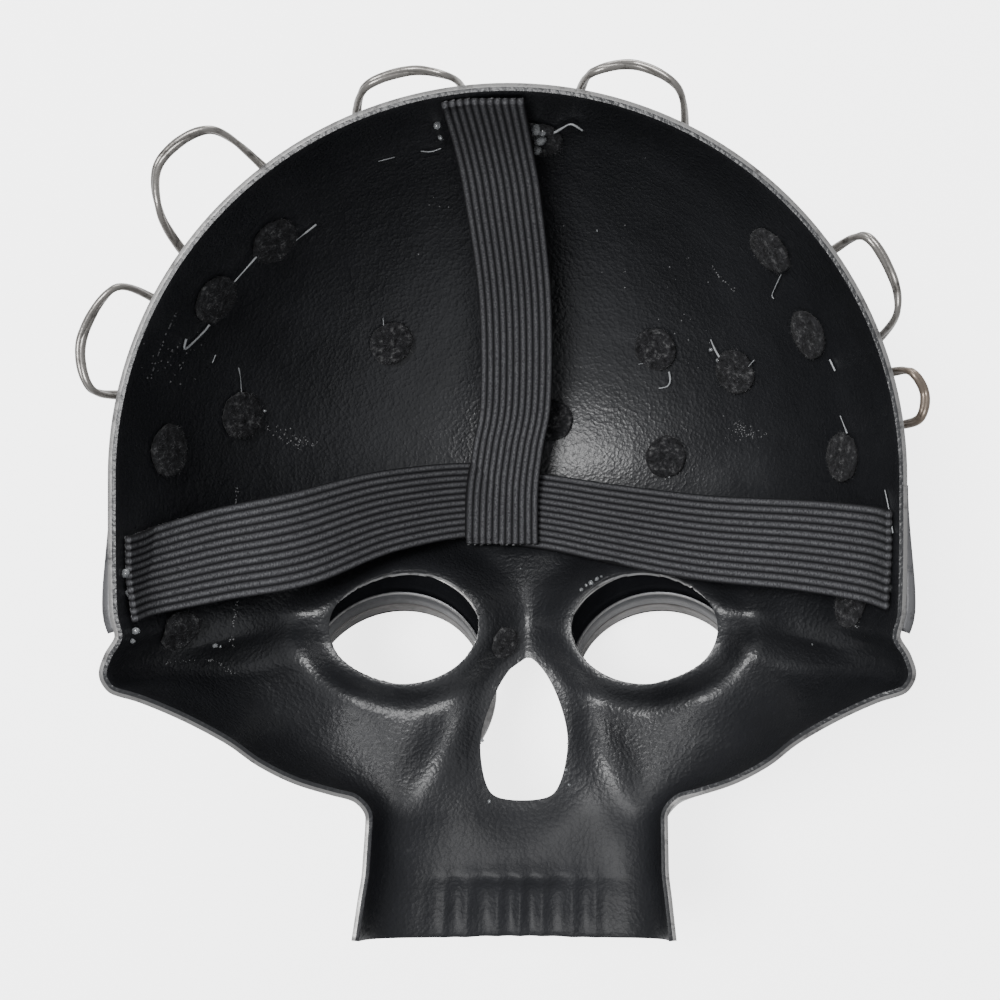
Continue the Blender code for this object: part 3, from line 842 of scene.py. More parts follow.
class Trees:
    """The Geometry Nodes trees that the mask uses."""

    @staticmethod
    def strand() -> Tree:
        """Thin strand or bead of glue along a curve, of uneven thickness.

        Returns:
            The tree.
        """
        tree = Tree("glue_strand", Radius=0.0003, Uneven=0.5, Lump=260.0)
        noise = tree.add("ShaderNodeTexNoise", Scale=tree.given["Lump"])
        spread = tree.mapped(noise.outputs["Fac"], 0.3, 0.7, -1.0, 1.0)
        profile = tree.add("GeometryNodeCurvePrimitiveCircle", Resolution=8, Radius=tree.given["Radius"])
        tube = tree.add(
            "GeometryNodeCurveToMesh",
            Curve=tree.evened(0.0005),
            Profile_Curve=profile.outputs[0],
            Scale=tree.sum("MULTIPLY_ADD", spread, tree.given["Uneven"], 1.0),
            Fill_Caps=True,
        )
        tree.end(tube.outputs[0])
        return tree

    @staticmethod
    def wire() -> Tree:
        """Wire of two strands drawn together, with a slow turn along a curve.

        Returns:
            The tree.
        """
        tree = Tree("twisted_wire", Strand=0.00078, Apart=0.00034, Turn=0.055)
        run = tree.add("GeometryNodeSplineParameter")
        angle = tree.sum("MULTIPLY", tree.sum("DIVIDE", run.outputs["Length"], tree.given["Turn"]), math.tau)
        tilted = tree.add("GeometryNodeSetCurveTilt", Curve=tree.evened(0.00045), Tilt=angle)
        circle = tree.add("GeometryNodeCurvePrimitiveCircle", Resolution=10, Radius=tree.given["Strand"])
        pair = tree.add("GeometryNodeJoinGeometry")
        for way in (-1.0, 1.0):
            place = tree.add("ShaderNodeCombineXYZ", X=tree.sum("MULTIPLY", tree.given["Apart"], way))
            moved = {"Geometry": circle.outputs[0], "Translation": place.outputs[0]}
            strand = tree.add("GeometryNodeTransform", **moved)
            tree.links.new(strand.outputs[0], pair.inputs[0])
        tube = tree.add(
            "GeometryNodeCurveToMesh", Curve=tilted.outputs[0], Profile_Curve=pair.outputs[0], Fill_Caps=True
        )
        tree.end(tube.outputs[0])
        return tree

    @staticmethod
    def windings() -> Tree:
        """One short thread on every point of a surface, slanted against the surface's own run.

        Returns:
            The tree.
        """
        tree = Tree("windings", Length=0.0016, Width=0.0008, Height=0.0006, Slant=1.2)
        ball = tree.add("GeometryNodeMeshUVSphere", Segments=6, Rings=4, Radius=0.5)
        shape = tree.add(
            "ShaderNodeCombineXYZ", X=tree.given["Length"], Y=tree.given["Width"], Z=tree.given["Height"]
        )
        turn = tree.add("ShaderNodeCombineXYZ", Z=tree.given["Slant"])
        sized = tree.add("GeometryNodeTransform", Geometry=ball.outputs[0], Scale=shape.outputs[0])
        thread = tree.add("GeometryNodeTransform", Geometry=sized.outputs[0], Rotation=turn.outputs[0])
        facing = tree.nodes.new("GeometryNodeInputNormal")
        upright = tree.add("FunctionNodeAlignRotationToVector", Vector=facing.outputs[0])
        upright.axis = "Z"
        run = tree.layer("FLOAT_VECTOR", "run")
        lying = tree.add("FunctionNodeAlignRotationToVector", Rotation=upright.outputs[0], Vector=run)
        lying.axis = "X"
        lying.pivot_axis = "Z"
        threads = tree.add(
            "GeometryNodeInstanceOnPoints",
            Points=tree.given["Geometry"],
            Instance=thread.outputs[0],
            Rotation=lying.outputs[0],
            Scale=tree.random(0.86, 1.14, 21),
        )
        tree.end(threads.outputs[0])
        return tree

    @staticmethod
    def beads() -> Tree:
        """A lumpy bead on every point, as big as the point says.

        Returns:
            The tree.
        """
        tree = Tree("glue_beads", Lump=0.35, Flat=0.7)
        ball = tree.add("GeometryNodeMeshIcoSphere", Radius=1.0, Subdivisions=3)
        shape = tree.add("ShaderNodeCombineXYZ", X=1.0, Y=0.85, Z=tree.given["Flat"])
        bead = tree.add("GeometryNodeTransform", Geometry=ball.outputs[0], Scale=shape.outputs[0])
        turn = tree.random_vector((-0.3, -0.3, 0.0), (0.3, 0.3, math.tau), 33)
        many = tree.add(
            "GeometryNodeInstanceOnPoints",
            Points=tree.given["Geometry"],
            Instance=bead.outputs[0],
            Rotation=turn,
            Scale=tree.layer("FLOAT", "size"),
        )
        real = tree.add("GeometryNodeRealizeInstances", Geometry=many.outputs[0])
        noise = tree.add("ShaderNodeTexNoise", Scale=900.0, Detail=2.0)
        spread = tree.mapped(noise.outputs["Fac"], 0.0, 1.0, -0.0011, 0.0011)
        facing = tree.nodes.new("GeometryNodeInputNormal")
        push = tree.add("ShaderNodeVectorMath")
        push.operation = "SCALE"
        tree.feed(push.inputs[0], facing.outputs[0])
        tree.feed(push.inputs["Scale"], tree.sum("MULTIPLY", spread, tree.given["Lump"]))
        lumpy = tree.add("GeometryNodeSetPosition", Geometry=real.outputs[0], Offset=push.outputs[0])
        tree.end(lumpy.outputs[0])
        return tree

    @staticmethod
    def fuzz() -> Tree:
        """Short stray fibres over a surface.

        Returns:
            The tree.
        """
        tree = Tree("felt_fuzz", Density=1.5e6, Length=0.0009, Thickness=0.00004)
        sizes = {"Mesh": tree.given["Geometry"], "Density": tree.given["Density"], "Seed": 7}
        spots = tree.add("GeometryNodeDistributePointsOnFaces", **sizes)
        fibre = tree.add(
            "GeometryNodeMeshCone",
            Vertices=3,
            Radius_Top=0.00001,
            Radius_Bottom=tree.given["Thickness"],
            Depth=tree.given["Length"],
        )
        lean = tree.random_vector((-1.25, -1.25, 0.0), (1.25, 1.25, math.tau), 11)
        turned = tree.add("FunctionNodeRotateRotation", Rotation=spots.outputs["Rotation"], Rotate_By=lean)
        turned.rotation_space = "LOCAL"
        hairs = tree.add(
            "GeometryNodeInstanceOnPoints",
            Points=spots.outputs["Points"],
            Instance=fibre.outputs[0],
            Rotation=turned.outputs[0],
            Scale=tree.random(0.4, 1.2, 5),
        )
        tree.end(hairs.outputs[0])
        return tree


def curve_source(points: Sequence[Vector], smooth: int = 6) -> bpy.types.Object:
    """Curve object through points, for a tree to read.

    Args:
        points: points of the path.
        smooth: parts made of each stretch; 1 keeps the straight runs.

    Returns:
        The curve object.
    """
    path = [tuple(point) for point in points]
    if len(path) > 2:
        path = curve_through(path, smooth)
    curve = bpy.data.curves.new("path", "CURVE")
    curve.dimensions = "3D"
    spline = curve.splines.new("POLY")
    spline.points.add(len(path) - 1)
    for point, place in zip(spline.points, path):
        point.co = (*place, 1.0)
    obj = bpy.data.objects.new("path", curve)
    bpy.context.scene.collection.objects.link(obj)
    return obj


def point_source(points: Sequence[Vector], sizes: Sequence[float]) -> bpy.types.Object:
    """Mesh of loose points that carry a size, for a tree to read.

    Args:
        points: the points.
        sizes: size of each.

    Returns:
        The mesh object.
    """
    mesh = bpy.data.meshes.new("points")
    mesh.from_pydata([tuple(point) for point in points], [], [])
    layer = mesh.attributes.new("size", "FLOAT", "POINT")
    for item, size in zip(layer.data, sizes):
        item.value = size
    obj = bpy.data.objects.new("points", mesh)
    bpy.context.scene.collection.objects.link(obj)
    return obj


@dataclass(frozen=True)
class SkullForm:
    """The moulded form of the mask's inner face, from named sizes and tables."""

    dome_centre_y: float = 0.0050
    dome_radius: float = 0.0870
    crown_rim_depth: float = 0.0030
    even_share: float = 0.62
    midline: Table = (
        # y, depth
        (-0.1108, 0.0337),
        (-0.0970, 0.0368),
        (-0.0895, 0.0390),
        (-0.0810, 0.0415),
        (-0.0740, 0.0445),
        (-0.0670, 0.0480),
        (-0.0570, 0.0530),
        (-0.0500, 0.0560),
        (-0.0440, 0.0576),
        (-0.0360, 0.0586),
        (-0.0270, 0.0618),
        (-0.0160, 0.0712),
        (-0.0060, 0.0800),
        (0.0050, 0.0854),
        (0.0160, 0.0876),
        (0.0350, 0.0892),
        (0.0600, 0.0894),
        (0.0926, 0.0880),
    )
    sections: tuple[tuple[str, float, float, float, float, float, float], ...] = (
        # name, mid_y, rim_x, rim_y, rim_depth, flat, steep
        ("forehead", 0.0050, 0.0870, 0.0050, 0.0, 2.0, 2.0),
        ("temple", -0.0045, 0.0870, -0.0060, 0.0, 2.0, 2.0),
        ("brow", -0.0140, 0.0869, -0.0165, 0.0, 2.05, 2.0),
        ("nasion", -0.0225, 0.0866, -0.0250, 0.0, 2.2, 2.0),
        ("arch_notch", -0.0285, 0.0855, -0.0303, 0.0, 2.3, 2.0),
        ("arch_top", -0.0332, 0.0880, -0.0352, 0.0, 2.4, 2.0),
        ("arch_corner", -0.0375, 0.0890, -0.0385, 0.0, 2.5, 2.1),
        ("arch_under", -0.0425, 0.0880, -0.0412, 0.0006, 2.6, 2.2),
        ("cheek_edge_1", -0.0480, 0.0826, -0.0438, 0.0030, 2.9, 2.4),
        ("cheek_edge_2", -0.0540, 0.0750, -0.0484, 0.0070, 3.2, 2.6),
        ("cheek_edge_3", -0.0605, 0.0656, -0.0554, 0.0120, 3.6, 2.8),
        ("cheek_edge_4", -0.0660, 0.0597, -0.0614, 0.0160, 4.0, 3.0),
        ("cheek_edge_5", -0.0715, 0.0520, -0.0665, 0.0193, 4.4, 3.0),
        ("cheek_end", -0.0760, 0.0443, -0.0701, 0.0230, 5.0, 3.0),
        ("jaw_corner", -0.0800, 0.0390, -0.0723, 0.0250, 5.5, 3.0),
        ("jaw_top", -0.0860, 0.0354, -0.0780, 0.0256, 6.0, 3.0),
        ("jaw_side", -0.0950, 0.0354, -0.0890, 0.0222, 6.0, 3.0),
        ("gum", -0.1010, 0.0361, -0.0965, 0.0200, 6.0, 3.0),
        ("teeth_edge", -0.1108, 0.0370, -0.1052, 0.0176, 5.0, 3.0),
    )
    swells: tuple[tuple[str, float, float, float, float, float, float], ...] = (
        # name, x, y, reach_x, reach_y, turn_deg, rise
        ("cheekbone", 0.0480, -0.0550, 0.0130, 0.0080, -20.0, 0.0030),
        ("canine_ridge", 0.0215, -0.0665, 0.0068, 0.0150, 28.0, -0.0040),
        ("nose_bridge", 0.0, -0.0320, 0.0042, 0.0120, 0.0, 0.0014),
        ("brow_middle", 0.0, -0.0140, 0.0140, 0.0060, 0.0, -0.0012),
        ("arch_crease", 0.0740, -0.0350, 0.0160, 0.0032, -18.0, -0.0030),
        ("arch_channel", 0.0720, -0.0440, 0.0150, 0.0045, -18.0, 0.0030),
        ("gum_fold", 0.0, -0.0965, 0.0180, 0.0022, 0.0, -0.0010),
    )
    eye_place: tuple[float, float] = (0.0321, -0.0342)
    eye_half: tuple[float, float] = (0.0196, 0.0147)
    socket_rise: tuple[float, float, float, float] = (0.0060, 0.0080, 0.0030, 0.0062)
    socket_reach: float = 0.0062
    orbit_rim: tuple[float, float, float, float] = (0.0090, 0.0045, 0.0034, 0.0030)
    nose_outline: Table = (
        # x, y
        (0.0, -0.0436),
        (0.0045, -0.0468),
        (0.0086, -0.0536),
        (0.0113, -0.0615),
        (0.0115, -0.0680),
        (0.0098, -0.0748),
        (0.0068, -0.0781),
        (0.0, -0.0790),
    )
    nose_margin: tuple[float, float] = (0.0022, 0.0050)
    tooth_width: float = 0.0064
    tooth_relief: float = 0.0009
    teeth_step: float = 0.0008
    teeth_top_y: float = -0.0985
    teeth_spread: float = 0.0195
    crease_spread: float = 0.0110

    def midline_depth(self, y: float) -> float:
        """Depth of the inner face on the midline, before the crown's curve."""
        return smooth_value([row[0] for row in self.midline], [row[1] for row in self.midline], y)

    def section_at(self, place: float) -> list[float]:
        """Sizes of the cross-section at a place counted in rows of the table."""
        rows = range(len(self.sections))
        return [smooth_value(rows, [self.sections[i][c] for i in rows], place) for c in range(1, 7)]

    def relief(self, x: float, y: float) -> float:
        """How much deeper the moulded face is than the plain bowl."""
        side = abs(x)
        features = (self._swells, self._socket, self._nose_margin, self._teeth)
        return sum(feature(side, y) for feature in features)

    def _swells(self, x: float, y: float) -> float:
        """Sum of the swells.

        Args:
            x: place across, never negative.
            y: place upward.

        Returns:
            Added depth.
        """
        total = 0.0
        for _name, centre_x, centre_y, reach_x, reach_y, turn_deg, rise in self.swells:
            turn = math.radians(turn_deg)
            across, along = x - centre_x, y - centre_y
            turned_x = across * math.cos(turn) + along * math.sin(turn)
            turned_y = along * math.cos(turn) - across * math.sin(turn)
            total += rise * bell(math.hypot(turned_x / reach_x, turned_y / reach_y))
        return total

    def _socket(self, x: float, y: float) -> float:
        """Rise of the eye socket towards its hole, and the groove of the orbit's rim round it.

        Args:
            x: place across, never negative.
            y: place upward.

        Returns:
            Added depth.
        """
        across = (x - self.eye_place[0]) / self.eye_half[0]
        along = (y - self.eye_place[1]) / self.eye_half[1]
        beyond = max(math.hypot(across, along) - 1.0, 0.0) * sum(self.eye_half) / 2.0
        bearing = math.atan2(along, across)
        upright, sideways = math.sin(bearing), math.cos(bearing)
        top, bottom, outer, inner = self.socket_rise
        rise = (outer if sideways > 0.0 else inner) * sideways**2
        rise += (top if upright > 0.0 else bottom) * upright**2
        distance, reach, groove_top, groove_outer = self.orbit_rim
        groove = groove_top * max(upright, 0.0) ** 2 + groove_outer * max(sideways, 0.0) ** 2
        return groove * bell((beyond - distance) / reach) - rise * bell(beyond / self.socket_reach)

    def _nose_margin(self, x: float, y: float) -> float:
        """The raised margin round the nose hole.

        Args:
            x: place across, never negative.
            y: place upward.

        Returns:
            Added depth.
        """
        top, foot = self.nose_outline[0][1], self.nose_outline[-1][1]
        half_width = max(point[0] for point in self.nose_outline)
        radius = math.hypot(x / half_width, (y - (top + foot) / 2.0) / ((top - foot) / 2.0))
        rise, reach = self.nose_margin
        return rise * bell(max(radius - 1.0, 0.0) * half_width / reach)

    def _teeth(self, x: float, y: float) -> float:
        """The row of upper teeth, of uneven widths, below a gum line that arches over each.

        Args:
            x: place across, never negative.
            y: place upward.

        Returns:
            Added depth.
        """
        place = (x + 0.0007 * math.sin(x * 310.0)) / self.tooth_width
        crown = math.sin(math.pi * place) ** 2
        below = (self.teeth_top_y + 0.0007 * crown - y) / 0.0014
        step = 1.0 / (1.0 + math.exp(-max(min(below, 40.0), -40.0)))
        fade = 1.0 / (1.0 + (x / self.teeth_spread) ** 6)
        near = 1.0 / (1.0 + (x / self.crease_spread) ** 6)
        edge = 1.0 - 0.6 / (1.0 + math.exp((y + 0.1075) / 0.0006))
        return step * (self.teeth_step * near + self.tooth_relief * crown**0.7 * fade * edge)

    def dome_point(self, angle: float, share: float) -> Vector:
        """Inner face above the forehead line.

        Args:
            angle: bearing from the dome's middle.
            share: share of the way to the rim.

        Returns:
            The point.
        """
        x = self.dome_radius * share * math.cos(angle)
        y = self.dome_centre_y + self.dome_radius * share * math.sin(angle)
        rim_depth = self.crown_rim_depth * math.sin(angle) ** 2
        upright = math.sqrt(max(1.0 - share * share, 0.0))
        depth = rim_depth + (self.midline_depth(y) - rim_depth) * upright
        return mask_point(x, y, depth + self.relief(x, y) * upright)

    def face_row(self, place: float, shares: Sequence[float]) -> list[Vector]:
        """Inner face below the forehead line, one row from rim to rim.

        Args:
            place: place in rows of the table.
            shares: share of the half width at each point.

        Returns:
            The points.
        """
        mid_y, rim_x, rim_y, rim_depth, flat, steep = self.section_at(place)
        middle = self.midline_depth(mid_y)
        row = []
        for share in shares:
            upright = max(1.0 - abs(share) ** flat, 0.0) ** (1.0 / steep)
            x = rim_x * share
            y = mid_y + (rim_y - mid_y) * (1.0 - upright)
            depth = rim_depth + (middle - rim_depth) * upright
            row.append(mask_point(x, y, depth + self.relief(x, y) * min(1.0, 2.0 * upright)))
        return row

    def column_share(self, column: int, even: int, total: int) -> float:
        """Even steps over the features, then even angles up the side wall to the rim.

        Args:
            column: column, 0 on the midline.
            even: last even column.
            total: last column.

        Returns:
            Share of the half width.
        """
        if abs(column) <= even:
            return self.even_share * column / even
        first = math.asin(self.even_share)
        beyond = (abs(column) - even) / (total - even)
        return math.copysign(math.sin(first + (math.pi / 2.0 - first) * beyond), column)

    def surface(self, even: int, total: int, rows: int, sectors: int) -> Surface:
        """The whole inner face as one open sheet whose normals point into the hollow.

        Args:
            even: even columns on each side of the midline.
            total: columns on each side of the midline.
            rows: rows below the forehead line.
            sectors: sectors of the dome above it.

        Returns:
            Points and faces.
        """
        shares = [self.column_share(c, even, total) for c in range(-total, total + 1)]
        last = len(self.sections) - 1
        points: list[Vector] = []
        faces: list[tuple[int, ...]] = []
        width = 2 * total + 1
        for step in range(rows + 1):
            points += self.face_row(last * step / rows, shares)
        for r in range(rows):
            for c in range(width - 1):
                a = r * width + c
                faces.append((a, a + width, a + width + 1, a + 1))
        rays = [list(range(total + 1, width))]
        for sector in range(1, sectors):
            angle = math.pi * sector / sectors
            rays.append(list(range(len(points), len(points) + total)))
            points += [self.dome_point(angle, shares[total + c]) for c in range(1, total + 1)]
        rays.append(list(range(total - 1, -1, -1)))
        for first, second in zip(rays, rays[1:]):
            faces.append((total, first[0], second[0]))
            faces += [(first[i], first[i + 1], second[i + 1], second[i]) for i in range(total - 1)]
        return points, faces


@dataclass
class Shell:
    """The moulded shell: fine inner face, holes, wall, silver outside."""

    form: SkullForm = field(default_factory=SkullForm)
    even: int = 62
    total: int = 88
    rows: int = 136
    sectors: int = 104
    hole_reach: float = 0.003
    bevel: float = 0.0004
    bevel_from: float = math.radians(55.0)

    def __post_init__(self) -> None:
        """Makes the inner face and its lookup trees."""
        self.points, self.faces = self.form.surface(self.even, self.total, self.rows, self.sectors)
        self.inner = BVHTree.FromPolygons(self.points, self.faces)
        mesh = mesh_from("probe", self.points, self.faces)
        normals = [Vector(n.vector) for n in mesh.vertex_normals]
        self.outer = BVHTree.FromPolygons([p - n * WALL for p, n in zip(self.points, normals)], self.faces)
        bpy.data.meshes.remove(mesh)

    def hole_outlines(self) -> list[list[tuple[float, float]]]:
        """Outlines of the two eye holes and the nose hole, in the row frame.

        Returns:
            The closed outlines.
        """
        (eye_x, eye_y), (half_x, half_y) = self.form.eye_place, self.form.eye_half
        outlines = []
        for side in Side:
            angles = [math.tau * i / 120 for i in range(120)]
            outlines.append(
                [
                    (side.value * eye_x + half_x * math.cos(a), eye_y + SHIFT_Y + half_y * math.sin(a))
                    for a in angles
                ]
            )
        half = list(self.form.nose_outline)
        ring = half + [(-x, y) for x, y in reversed(half[1:-1])]
        ring = ring[-3:] + ring + ring[:3]
        smooth = curve_through(ring, 10)[30:-30]
        outlines.append([(x, y + SHIFT_Y) for x, y in smooth])
        return outlines

    def with_holes(self) -> Surface:
        """Takes the holes out of the inner face and draws its edge to their outlines.

        Returns:
            Points and faces.
        """
        points = [point.copy() for point in self.points]
        gone: set[int] = set()
        outlines = self.hole_outlines()
        reach = self.hole_reach
        for outline in outlines:
            xs, ys = [p[0] for p in outline], [p[1] for p in outline]
            for i, p in enumerate(points):
                beside = min(xs) - reach < p.x < max(xs) + reach
                level = min(ys) - reach < p.y < max(ys) + reach
                if beside and level and self.inside(p.x, p.y, outline):
                    gone.add(i)
        faces = [face for face in self.faces if not all(i in gone for i in face)]
        edge = {i for face in faces for i in face if i in gone}
        for i in edge:
            hits = [self.closest(points[i].x, points[i].y, line) for line in outlines]
            x, y = min(hits, key=lambda hit: hit[2])[:2]
            seat = self.inner.ray_cast(Vector((x, y, RIM_HEIGHT)), DOWN)[0]
            points[i] = seat if seat else Vector((x, y, points[i].z))
        used = sorted({i for face in faces for i in face})
        number = {old: new for new, old in enumerate(used)}
        return [points[i] for i in used], [tuple(number[i] for i in face) for face in faces]

    @staticmethod
    def inside(x: float, y: float, outline: Outline) -> bool:
        """Whether a place lies inside an outline.

        Args:
            x: place across.
            y: place upward.
            outline: closed outline.

        Returns:
            True if it does.
        """
        within = False
        for (ax, ay), (bx, by) in zip(outline, [*outline[1:], outline[0]]):
            if (ay > y) != (by > y) and x < (bx - ax) * (y - ay) / (by - ay) + ax:
                within = not within
        return within

    @staticmethod
    def closest(x: float, y: float, outline: Outline) -> tuple[float, float, float]:
        """Closest place on an outline, and how far off it is.

        Args:
            x: place across.
            y: place upward.
            outline: closed outline.

        Returns:
            The place and the distance.
        """
        best = (x, y, 1e9)
        for (ax, ay), (bx, by) in zip(outline, [*outline[1:], outline[0]]):
            dx, dy = bx - ax, by - ay
            length = dx * dx + dy * dy
            share = 0.0 if length == 0.0 else max(0.0, min(1.0, ((x - ax) * dx + (y - ay) * dy) / length))
            px, py = ax + dx * share, ay + dy * share
            gap = math.hypot(x - px, y - py)
            if gap < best[2]:
                best = (px, py, gap)
        return best

    def build(self) -> bpy.types.Object:
        """Builds the shell.

        Returns:
            The shell piece.
        """
        points, faces = self.with_holes()
        black = GrainedPlastic(jaw_dulling=0.12, jaw_gloss=0.14).make()
        rim_tones = ((0.20, 0.197, 0.194), (0.035, 0.034, 0.034))
        hole_tones = ((0.26, 0.26, 0.262), (0.030, 0.030, 0.032))
        silver = SilverPaint("outside_silver", *OUTSIDE_TONES, wear_scale=45.0).make()
        rim = SilverPaint("rim_silver", *rim_tones, metallic=0.6, wear_scale=190.0).make()
        edging = SilverPaint("hole_edge", *hole_tones, roughness=0.32, metallic=0.5, wear_scale=330.0).make()
        shell = new_object("shell", mesh_from("shell", points, faces), black, silver, rim, edging)
        wall = shell.modifiers.new("Wall", "SOLIDIFY")
        wall.thickness = WALL
        wall.offset = -1.0
        wall.material_offset = PAINTED
        wall.material_offset_rim = EDGE
        bake(shell)
        self.split_rim(shell.data)
        edge = shell.modifiers.new("Soft edge", "BEVEL")
        edge.width = self.bevel
        edge.segments = 2
        edge.limit_method = "ANGLE"
        edge.angle_limit = self.bevel_from
        bake(shell)
        outlines = self.hole_outlines()
        for polygon in shell.data.polygons:
            if polygon.material_index == EDGE:
                x, y = polygon.center.x, polygon.center.y
                if min(self.closest(x, y, outline)[2] for outline in outlines) < self.hole_reach:
                    polygon.material_index = HOLE_EDGE
        return finished(shell, Slot.SHELL, "mask_shell")

    def split_rim(self, mesh: bpy.types.Mesh) -> None:
        """Splits the wall's edge lengthwise: black on its inner half, painted on its outer half.

        Args:
            mesh: mesh of the wall, changed in place.
        """
        work = bmesh.new()
        work.from_mesh(mesh)
        crossing = []
        for edge in work.edges:
            if edge.link_faces and all(face.material_index == EDGE for face in edge.link_faces):
                crossing.append(edge)
        bmesh.ops.subdivide_edges(work, edges=crossing, cuts=1)
        for face in work.faces:
            if face.material_index == EDGE:
                place = face.calc_center_median()
                if self.inner.find_nearest(place)[3] < self.outer.find_nearest(place)[3]:
                    face.material_index = BARE
        work.to_mesh(mesh)
        work.free()

    def pushed(self, point: Vector, distance: float, outside: bool = False) -> Vector:
        """The point moved off the shell until it is clear.

        Args:
            point: the point.
            distance: least distance from the wall.
            outside: whether it lies on the outer side.

        Returns:
            The point, moved if it was too close.
        """
        place, normal, _index, _gap = (self.outer if outside else self.inner).find_nearest(point)
        away = -normal if outside else normal
        short = distance - (point - place).dot(away)
        return point + away * short if short > 0.0 else point

    def in_front(self, point: Vector, forward: Vector, distance: float) -> Vector:
        """The point moved forward until it lies in front of the shell.

        Args:
            point: the point.
            forward: unit vector out of the face.
            distance: least gap.

        Returns:
            The point, moved if it was too far back.
        """
        ahead = 0.08
        place, _normal, _index, gap = self.outer.ray_cast(point + forward * ahead, -forward)
        if place is None or gap > ahead + distance:
            return point
        return place + forward * distance

    def seated(self, x: float, y: float, lift: float) -> Vector:
        """Point just over the inner face at a place in plan."""
        place, normal = self.dropped(x, y)
        return place + normal * lift

    def dropped(self, x: float, y: float) -> tuple[Vector, Vector]:
        """Inner face under a place in plan.

        Args:
            x: place across.
            y: place upward.

        Returns:
            Its point and its normal.
        """
        start = Vector((x, y + SHIFT_Y, RIM_HEIGHT + 0.05))
        place, normal, _index, _gap = self.inner.ray_cast(start, DOWN)
        if place is None:
            place, normal, _index, _gap = self.inner.find_nearest(mask_point(x, y, 0.01))
        return place, normal


def grid_normals(rows: Grid) -> Grid:
    """Unit normals of a grid of points.

    Args:
        rows: the grid.

    Returns:
        A normal for each point.
    """
    normals = []
    for r, row in enumerate(rows):
        line = []
        for c in range(len(row)):
            along = rows[min(r + 1, len(rows) - 1)][c] - rows[max(r - 1, 0)][c]
            across = row[min(c + 1, len(row) - 1)] - row[max(c - 1, 0)]
            line.append(across.cross(along).normalized())
        normals.append(line)
    return normals


def thick_sheet(
    name: str, rows: Grid, near: Callable[[int, int], float], far: Callable[[int, int], float]
) -> bpy.types.Mesh:
    """Closed sheet round a grid, with a UV map: share of the width across, metres along.

    Args:
        name: name of the mesh.
        rows: middle surface, as rows along the sheet.
        near: height above the middle at a row and column.
        far: depth below it.

    Returns:
        The mesh.
    """
    normals = grid_normals(rows)
    height, width = len(rows), len(rows[0])
    points = [rows[r][c] + normals[r][c] * near(r, c) for r in range(height) for c in range(width)]
    points += [rows[r][c] - normals[r][c] * far(r, c) for r in range(height) for c in range(width)]
    other = height * width
    faces: list[tuple[int, ...]] = []
    for r in range(height - 1):
        for c in range(width - 1):
            a = r * width + c
            faces.append((a, a + 1, a + width + 1, a + width))
            faces.append((other + a, other + a + width, other + a + width + 1, other + a + 1))
    border = [(r, 0) for r in range(height)]
    border += [(height - 1, c) for c in range(1, width)]
    border += [(r, width - 1) for r in range(height - 2, -1, -1)]
    border += [(0, c) for c in range(width - 2, 0, -1)]
    for (r, c), (n, k) in zip(border, border[1:] + border[:1]):
        a, b = r * width + c, n * width + k
        faces.append((a, b, other + b, other + a))
    mesh = mesh_from(name, points, faces)
    run = [0.0]
    middle = width // 2
    for r in range(1, height):
        run.append(run[-1] + (rows[r][middle] - rows[r - 1][middle]).length)
    layer = mesh.uv_layers.new(name="UVMap")
    for loop in mesh.loops:
        index = loop.vertex_index % other
        layer.data[loop.index].uv = (index % width / (width - 1), run[index // width])
    closed_outward(mesh)
    return mesh


